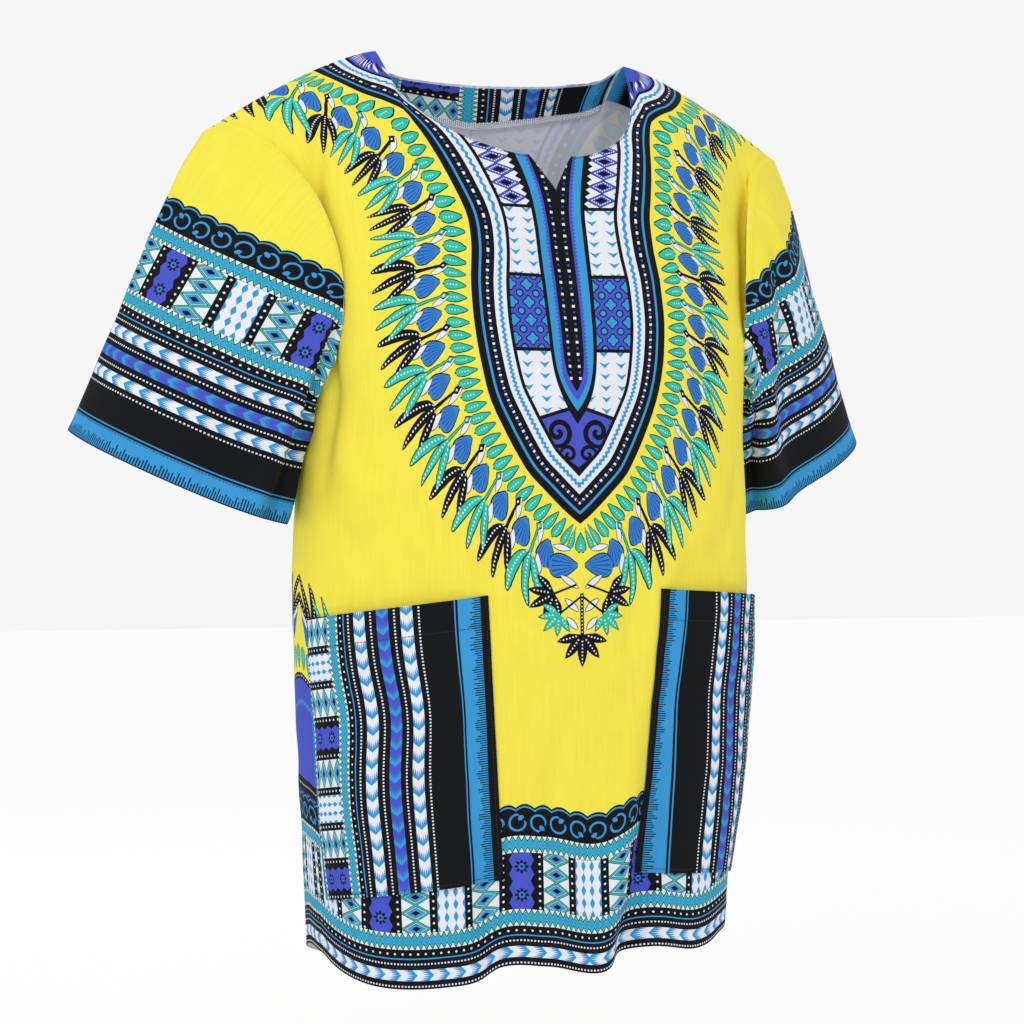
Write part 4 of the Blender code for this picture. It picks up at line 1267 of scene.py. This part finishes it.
SLEEVE_GUIDES = (
    SleeveGuide(0.00, 0.110, 0.010, -0.110, 0.100, 0.030, -0.210),
    SleeveGuide(0.25, 0.120, -0.050, -0.060, 0.070, 0.020, -0.180),
    SleeveGuide(0.50, 0.060, 0.000, -0.060, 0.030, 0.000, -0.090),
    SleeveGuide(0.75, 0.120, 0.050, -0.060, 0.070, 0.010, -0.180),
    SleeveGuide(1.00, 0.110, 0.010, -0.110, 0.100, 0.030, -0.210),
)
SleeveFold = namedtuple("SleeveFold", "turn_at_seam turn_at_cuff out half_width")
SLEEVE_FOLDS = (
    SleeveFold(0.16, 0.12, 0.005, 0.06),
    SleeveFold(0.30, 0.27, -0.007, 0.05),
    SleeveFold(0.375, 0.345, 0.011, 0.030),
    SleeveFold(0.425, 0.400, -0.009, 0.022),
    SleeveFold(0.465, 0.450, 0.007, 0.022),
    SleeveFold(0.62, 0.60, 0.007, 0.05),
    SleeveFold(0.71, 0.72, -0.007, 0.05),
    SleeveFold(0.80, 0.84, 0.005, 0.06),
)


def armhole_ring(front_rows, back_rows):
    """The armhole on the wearer's left: down the front edge from the shoulder tip, and up the back edge."""
    down = front_rows[BODY_ROWS:, -1][::-1]
    up = back_rows[BODY_ROWS:, -1]
    return np.concatenate([down, up[1:-1]])


def turns_of(ring):
    """How far round the ring each point lies, from 0 at the shoulder tip, 0.5 at the armpit, to 1."""
    turns = []
    for half in (ring[: YOKE_ROWS + 1], np.concatenate([ring[YOKE_ROWS:], ring[:1]])):
        steps = np.linalg.norm(np.diff(half, axis=0), axis=1)
        turns.append(np.concatenate([[0], np.cumsum(steps)]) / steps.sum() / 2)
    return np.concatenate([turns[0], 0.5 + turns[1][1:-1]])


def ring_normals(grid):
    """Unit normals of a grid that closes on itself round the sleeve."""
    across = np.roll(grid, -1, axis=1) - np.roll(grid, 1, axis=1)
    normal = unit(np.cross(np.gradient(grid, axis=0), across))
    inward = np.sum(normal * (grid - grid.mean(axis=1, keepdims=True))) < 0
    return -normal if inward else normal


def sleeve_sheet(ring, cuff):
    """A sleeve's points from the armhole to the cuff, with x counted outwards."""
    turns = turns_of(ring)
    outer, inner, front_reach = np.array(cuff.outer), np.array(cuff.inner), np.array(cuff.front_reach)
    angle = 2 * math.pi * turns[:, None]
    mouth = (outer + inner) / 2 + (outer - inner) / 2 * np.cos(angle) + front_reach * np.sin(angle)
    leave = np.stack([look_up(SLEEVE_GUIDES, turns, "turn", "leave_" + name) for name in "xyz"], axis=-1)
    arrive = np.stack([look_up(SLEEVE_GUIDES, turns, "turn", "arrive_" + name) for name in "xyz"], axis=-1)
    parts = np.linspace(0, 1, SLEEVE_ROWS + 1)
    grid = np.array([hermite(ring, leave, mouth, arrive, np.full(len(ring), part)) for part in parts])
    normals = ring_normals(grid)
    for row, part in enumerate(parts):
        depth = np.zeros(len(turns))
        for fold in SLEEVE_FOLDS:
            middle = fold.turn_at_seam + (fold.turn_at_cuff - fold.turn_at_seam) * part
            depth += fold.out * np.exp(-(((turns - middle) / fold.half_width) ** 2))
        depth = depth * math.sin(math.pi * min(part, 0.5)) ** 2
        around, down = turns * SLEEVE_GIRTH, np.full(len(turns), part * SLEEVE_LENGTH)
        small = crease_depth(cuff.creases, around, down) + handle_waves(around, down, 3.3 + cuff.side)
        beside_seam = math.exp(-(((part * SLEEVE_LENGTH - 0.008) / 0.005) ** 2))
        roll = SEAM_ROLL * beside_seam * (1 + 0.3 * np.sin(around * 310.0))
        grid[row] += normals[row] * (depth + small * min(part / 0.05, 1.0) + roll)[:, None]
    return grid, turns


def sleeve_print(ink, shader):
    """The border's print round a sleeve, with its scalloped edge towards the shoulder."""
    around, from_cuff = map_places(ink, "flat")
    along, down = SLEEVE_PRINT_START - around, SLEEVE_PRINT_HEIGHT - from_cuff
    finished(border_print(ground_of(ink, YELLOW), along, down), shader, around, from_cuff)


sleeve_material, ink, shader = printed_cotton("sleeve_cotton")
sleeve_print(ink, shader)
for cuff in CUFFS:
    order = slice(None) if cuff.side > 0 else slice(None, None, -1)
    outwards = np.array([cuff.side, 1, 1])
    ring = armhole_ring(front_grid[:, order], back_grid[:, order]) * outwards
    grid, turns = sleeve_sheet(ring, cuff)
    normals = ring_normals(grid)
    normals[0] = armhole_ring(front_normals[:, order], back_normals[:, order]) * outwards
    # The tube's columns are counted from the underarm, where its seam lies
    grid, normals = np.roll(grid, -YOKE_ROWS, axis=1), np.roll(normals, -YOKE_ROWS, axis=1)
    turns = (np.roll(turns, -YOKE_ROWS) + 0.5) % 1.0
    climbs = np.linalg.norm(np.diff(grid[::-1], axis=0), axis=-1)
    from_cuff = np.concatenate([np.zeros((1, len(turns))), np.cumsum(climbs, axis=0)])[::-1]
    around = np.concatenate([turns, [1.0]]) * SLEEVE_GIRTH
    from_cuff = np.concatenate([from_cuff, from_cuff[:, :1]], axis=1)
    flat = np.stack([np.broadcast_to(around, from_cuff.shape), from_cuff], axis=-1)
    outer, inner = grid * outwards, (grid - normals * CLOTH) * outwards
    sleeve = cloth_shell(cuff.name + "_cloth", outer, inner, True, {"flat": flat}, sleeve_material)
    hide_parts(cuff.name)
    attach(sleeve, "root")
    closed = np.concatenate([grid, grid[:, :1]], axis=1)
    closed_normals = np.concatenate([normals, normals[:, :1]], axis=1)
    rows = np.arange(len(grid))
    row = np.array([np.interp(-STITCHED_ABOVE_EDGE, -heights, rows) for heights in from_cuff.T])
    column = np.arange(len(row), dtype=float)
    cuff_line = [on_grid(layer, row, column) * outwards for layer in (closed, closed_normals)]
    stitches = stitch_rows(cuff.name + "_stitches", [cuff_line])
    sheet_area(closed)

# Pockets. Two large patch pockets of border print on the lower front, turned in at three edges, hemmed at
# the mouth and top-stitched on.
Pocket = namedtuple("Pocket", "name near_top near_foot far top_height foot_height drop")
POCKETS = (
    Pocket("pocket_right", -0.312, -0.275, -0.930, -0.463, -0.696, 0.021),
    Pocket("pocket_left", 0.285, 0.225, 0.930, -0.459, -0.696, 0.010),
)
POCKET_STAND_OFF = 0.0008
POCKET_PUFF = 0.009
POCKET_ROWS = 71
POCKET_COLUMNS = 51
# Rows of stitches, counted in rows and columns: along the edges, and under the mouth's hem
POCKET_EDGE_STITCHES = 0.8
POCKET_HEM_STITCHES = 63.4
STITCH_LINE_POINTS = 60
# Where the border's repeats start on a pocket, in millimetres
POCKET_REPEATS_FROM = 418.5
# The print on a pocket, in metres: its height, the place of its middle edge, and where and by how much its
# bands close up
POCKET_PRINT_HEIGHT = 0.236
POCKET_PRINT_START = 0.221
POCKET_PRINT_TURN = 0.114
POCKET_PRINT_SQUEEZE = 0.074 / 0.051


def pocket_print(ink, shader):
    """The border's print, turned to run down the pocket."""
    from_side, up = map_places(ink, "flat")
    finished(border_print(ground_of(ink, BLACK), POCKET_REPEATS_FROM - up, from_side), shader, from_side, up)


pocket_material, ink, shader = printed_cotton("pocket_cotton")
pocket_print(ink, shader)
shares = front_flat[0, :, 0] / HALF_GIRTH
for pocket in POCKETS:
    part = np.linspace(0, 1, POCKET_ROWS + 1)[:, None]
    across = np.linspace(0, 1, POCKET_COLUMNS + 1)[None, :]
    middle_edge = pocket.near_foot + (pocket.near_top - pocket.near_foot) * part
    share = middle_edge + (pocket.far - middle_edge) * across
    col = np.interp(share, shares, np.arange(len(shares)))
    height = pocket.foot_height + (pocket.top_height - pocket.foot_height) * part - pocket.drop * across
    foot = HEM_HEIGHT + look_up(FRONT.hem, share, "share", "lift")
    row = (height - foot) / (ARMPIT_HEIGHT - foot) * BODY_ROWS
    puff = POCKET_PUFF * np.sin(math.pi * across) ** 0.8 * np.sin(math.pi * (0.04 + 0.60 * part))
    level, normal = on_grid(front_grid, row, col), on_grid(front_normals, row, col)
    inner = level + normal * (POCKET_STAND_OFF + puff)[..., None]
    outer = inner + normal * CLOTH
    # The border runs down the pocket. Towards the side it is seen round the body, so its bands close up
    from_middle = np.abs(share - middle_edge) * HALF_GIRTH
    pinch = 0.006 * np.exp(-(((part - 0.62) / 0.16) ** 2)) * np.clip(from_middle / 0.08, 0, 1)
    from_middle = from_middle + pinch
    past_turn = np.maximum(from_middle - POCKET_PRINT_TURN, 0.0)
    print_place = POCKET_PRINT_START - from_middle - past_turn * (POCKET_PRINT_SQUEEZE - 1)
    flat = np.stack([print_place, np.broadcast_to(part * POCKET_PRINT_HEIGHT, height.shape)], axis=-1)
    lines = []
    level_run = np.linspace(POCKET_EDGE_STITCHES, POCKET_COLUMNS - POCKET_EDGE_STITCHES, STITCH_LINE_POINTS)
    upright_run = np.linspace(1.0, POCKET_ROWS - 1.0, STITCH_LINE_POINTS)
    for at_column in (level_run[0], level_run[-1]):
        column = np.full(STITCH_LINE_POINTS, at_column)
        lines.append([on_grid(layer, upright_run, column) for layer in (outer, normal)])
    for at_row in (upright_run[0], POCKET_HEM_STITCHES):
        row = np.full(STITCH_LINE_POINTS, at_row)
        lines.append([on_grid(layer, row, level_run) for layer in (outer, normal)])
    if pocket.far < 0:
        inner, outer, flat = inner[:, ::-1], outer[:, ::-1], flat[:, ::-1]
    piece = cloth_shell(pocket.name + "_cloth", outer, inner, False, {"flat": flat}, pocket_material)
    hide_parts(pocket.name)
    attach(piece, "root")
    stitches = stitch_rows(pocket.name + "_stitches", lines)
    sheet_area(outer)

# Neck facing. A strip of border print that finishes the inside of the back of the neck. It is sewn in at
# the neck's edge and serged along its lower edge.
FACING_STAND_OFF = 0.0016
SERGING_PITCH = 0.0019
SERGING_WIDTH = 0.006
# Where the border's repeats start on the facing, in millimetres
FACING_REPEATS_FROM = 400.0
inside = np.abs(shares) < NECK_SHARE - 1e-9
rows = np.linspace(0.1, 1.9, 12) * YOKE_ROWS / 12
place = len(back_grid) - 1 - rows[:, None]
col = np.flatnonzero(inside)[None, :] + 0.0 * place
place = place + 0.0 * col
level, normal = on_grid(back_grid, place, col), on_grid(back_normals, place, col)
outer, inner = level - normal * FACING_STAND_OFF, level - normal * (FACING_STAND_OFF + CLOTH)


def facing_print(ink, shader):
    """The border's print along the strip, over a serged edge of grey and white thread."""
    across, down = map_places(ink, "flat")
    colour = border_print(ground_of(ink, BLACK), down + FACING_REPEATS_FROM, across)
    thread = near(across, 1.5) + near(down - across * 0.3, 2.4) * 0.4
    serged = down > 40.0 + near(across, 3.0) * 0.7
    colour = colour.paint(serged, SERGED_GREY).paint(serged & (thread < 0.72), WHITE)
    finished(colour, shader, across, down)


facing_material, ink, shader = printed_cotton("facing_cotton")
facing_print(ink, shader)
facing_across = shares[inside] * HALF_GIRTH
facing_print_place = 0.1206 + (facing_across - 0.027) * 0.88 + np.clip(facing_across - 0.055, 0, 1) * 0.6
facing_down = (rows / YOKE_ROWS * 0.3)[:, None]
flat = np.stack(np.broadcast_arrays(facing_print_place, facing_down), axis=-1)
facing = cloth_shell(
    "neck_facing_cloth", inner[::-1], outer[::-1], False, {"flat": flat[::-1]}, facing_material
)
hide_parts("neck_facing")
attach(facing, "root")
lower_edge = (inner[-1] * 0.94 + inner[-2] * 0.06, -normal[-1])
serging = stitch_rows("facing_serging", [lower_edge], SERGING_PITCH, SERGING_WIDTH, WHITE)
sheet_area(outer)

# Studio. A pale floor under the shirt, three large soft lights, a pale surround, and a camera at the
# photograph's viewpoint.
FLOOR_HEIGHT = -0.95
floor_mesh = bmesh.new()
bmesh.ops.create_grid(floor_mesh, x_segments=1, y_segments=1, size=12.0)
bmesh.ops.translate(floor_mesh, verts=floor_mesh.verts[:], vec=(0, 0, FLOOR_HEIGHT))
floor_data = bpy.data.meshes.new("studio_floor")
floor_mesh.to_mesh(floor_data)
floor_mesh.free()
floor = bpy.data.objects.new("studio_floor", floor_data)
bpy.context.scene.collection.objects.link(floor)
floor_material = bpy.data.materials.new("studio_floor")
floor_material.use_nodes = True
shader = floor_material.node_tree.nodes["Principled BSDF"]
shader.inputs["Base Color"].default_value = (0.25, 0.25, 0.25, 1.0)
shader.inputs["Emission Color"].default_value = (1.0, 1.0, 1.0, 1.0)
shader.inputs["Emission Strength"].default_value = 0.68
shader.inputs["Roughness"].default_value = 0.9
floor_data.materials.append(floor_material)

bpy.context.scene.view_settings.view_transform = "Standard"
world = bpy.data.worlds.new("studio")
bpy.context.scene.world = world
world.use_nodes = True
world.node_tree.nodes["Background"].inputs["Color"].default_value = (1.0, 1.0, 1.0, 1.0)
world.node_tree.nodes["Background"].inputs["Strength"].default_value = 0.92
Lamp = namedtuple("Lamp", "name place aim size power")
LAMPS = (
    Lamp("key_light", (-1.9, -2.3, 1.2), (0.0, 0.0, -0.4), 1.3, 24.0),
    Lamp("fill_light", (2.4, -1.9, 0.4), (0.0, 0.0, -0.4), 2.0, 1.0),
    Lamp("back_light", (0.4, 2.6, 1.4), (0.0, 0.0, -0.3), 1.6, 8.0),
)
for lamp in LAMPS:
    light = bpy.data.lights.new(lamp.name, "AREA")
    light.size = lamp.size
    light.energy = lamp.power
    obj = bpy.data.objects.new(lamp.name, light)
    obj.location = lamp.place
    heading = np.array(lamp.aim) - np.array(lamp.place)
    tilt = math.acos(-heading[2] / np.linalg.norm(heading))
    obj.rotation_euler = (tilt, 0.0, math.atan2(heading[1], heading[0]) - math.pi / 2)
    bpy.context.scene.collection.objects.link(obj)

CAMERA_TURN = math.radians(-24)
CAMERA_DISTANCE = 2.8
CAMERA_TARGET = (0.010, 0.0, -0.395)
PHOTO_WIDTH = 1024
FOCAL_PIXELS = 3207
SENSOR_WIDTH = 36.0
camera_data = bpy.data.cameras.new("photo_camera")
camera_data.sensor_width = SENSOR_WIDTH
camera_data.lens = FOCAL_PIXELS / PHOTO_WIDTH * SENSOR_WIDTH
camera = bpy.data.objects.new("photo_camera", camera_data)
camera.location = (
    CAMERA_TARGET[0] + CAMERA_DISTANCE * math.sin(CAMERA_TURN),
    CAMERA_TARGET[1] - CAMERA_DISTANCE * math.cos(CAMERA_TURN),
    CAMERA_TARGET[2],
)
camera.rotation_euler = (math.pi / 2, 0.0, CAMERA_TURN)
bpy.context.scene.collection.objects.link(camera)
bpy.context.scene.camera = camera
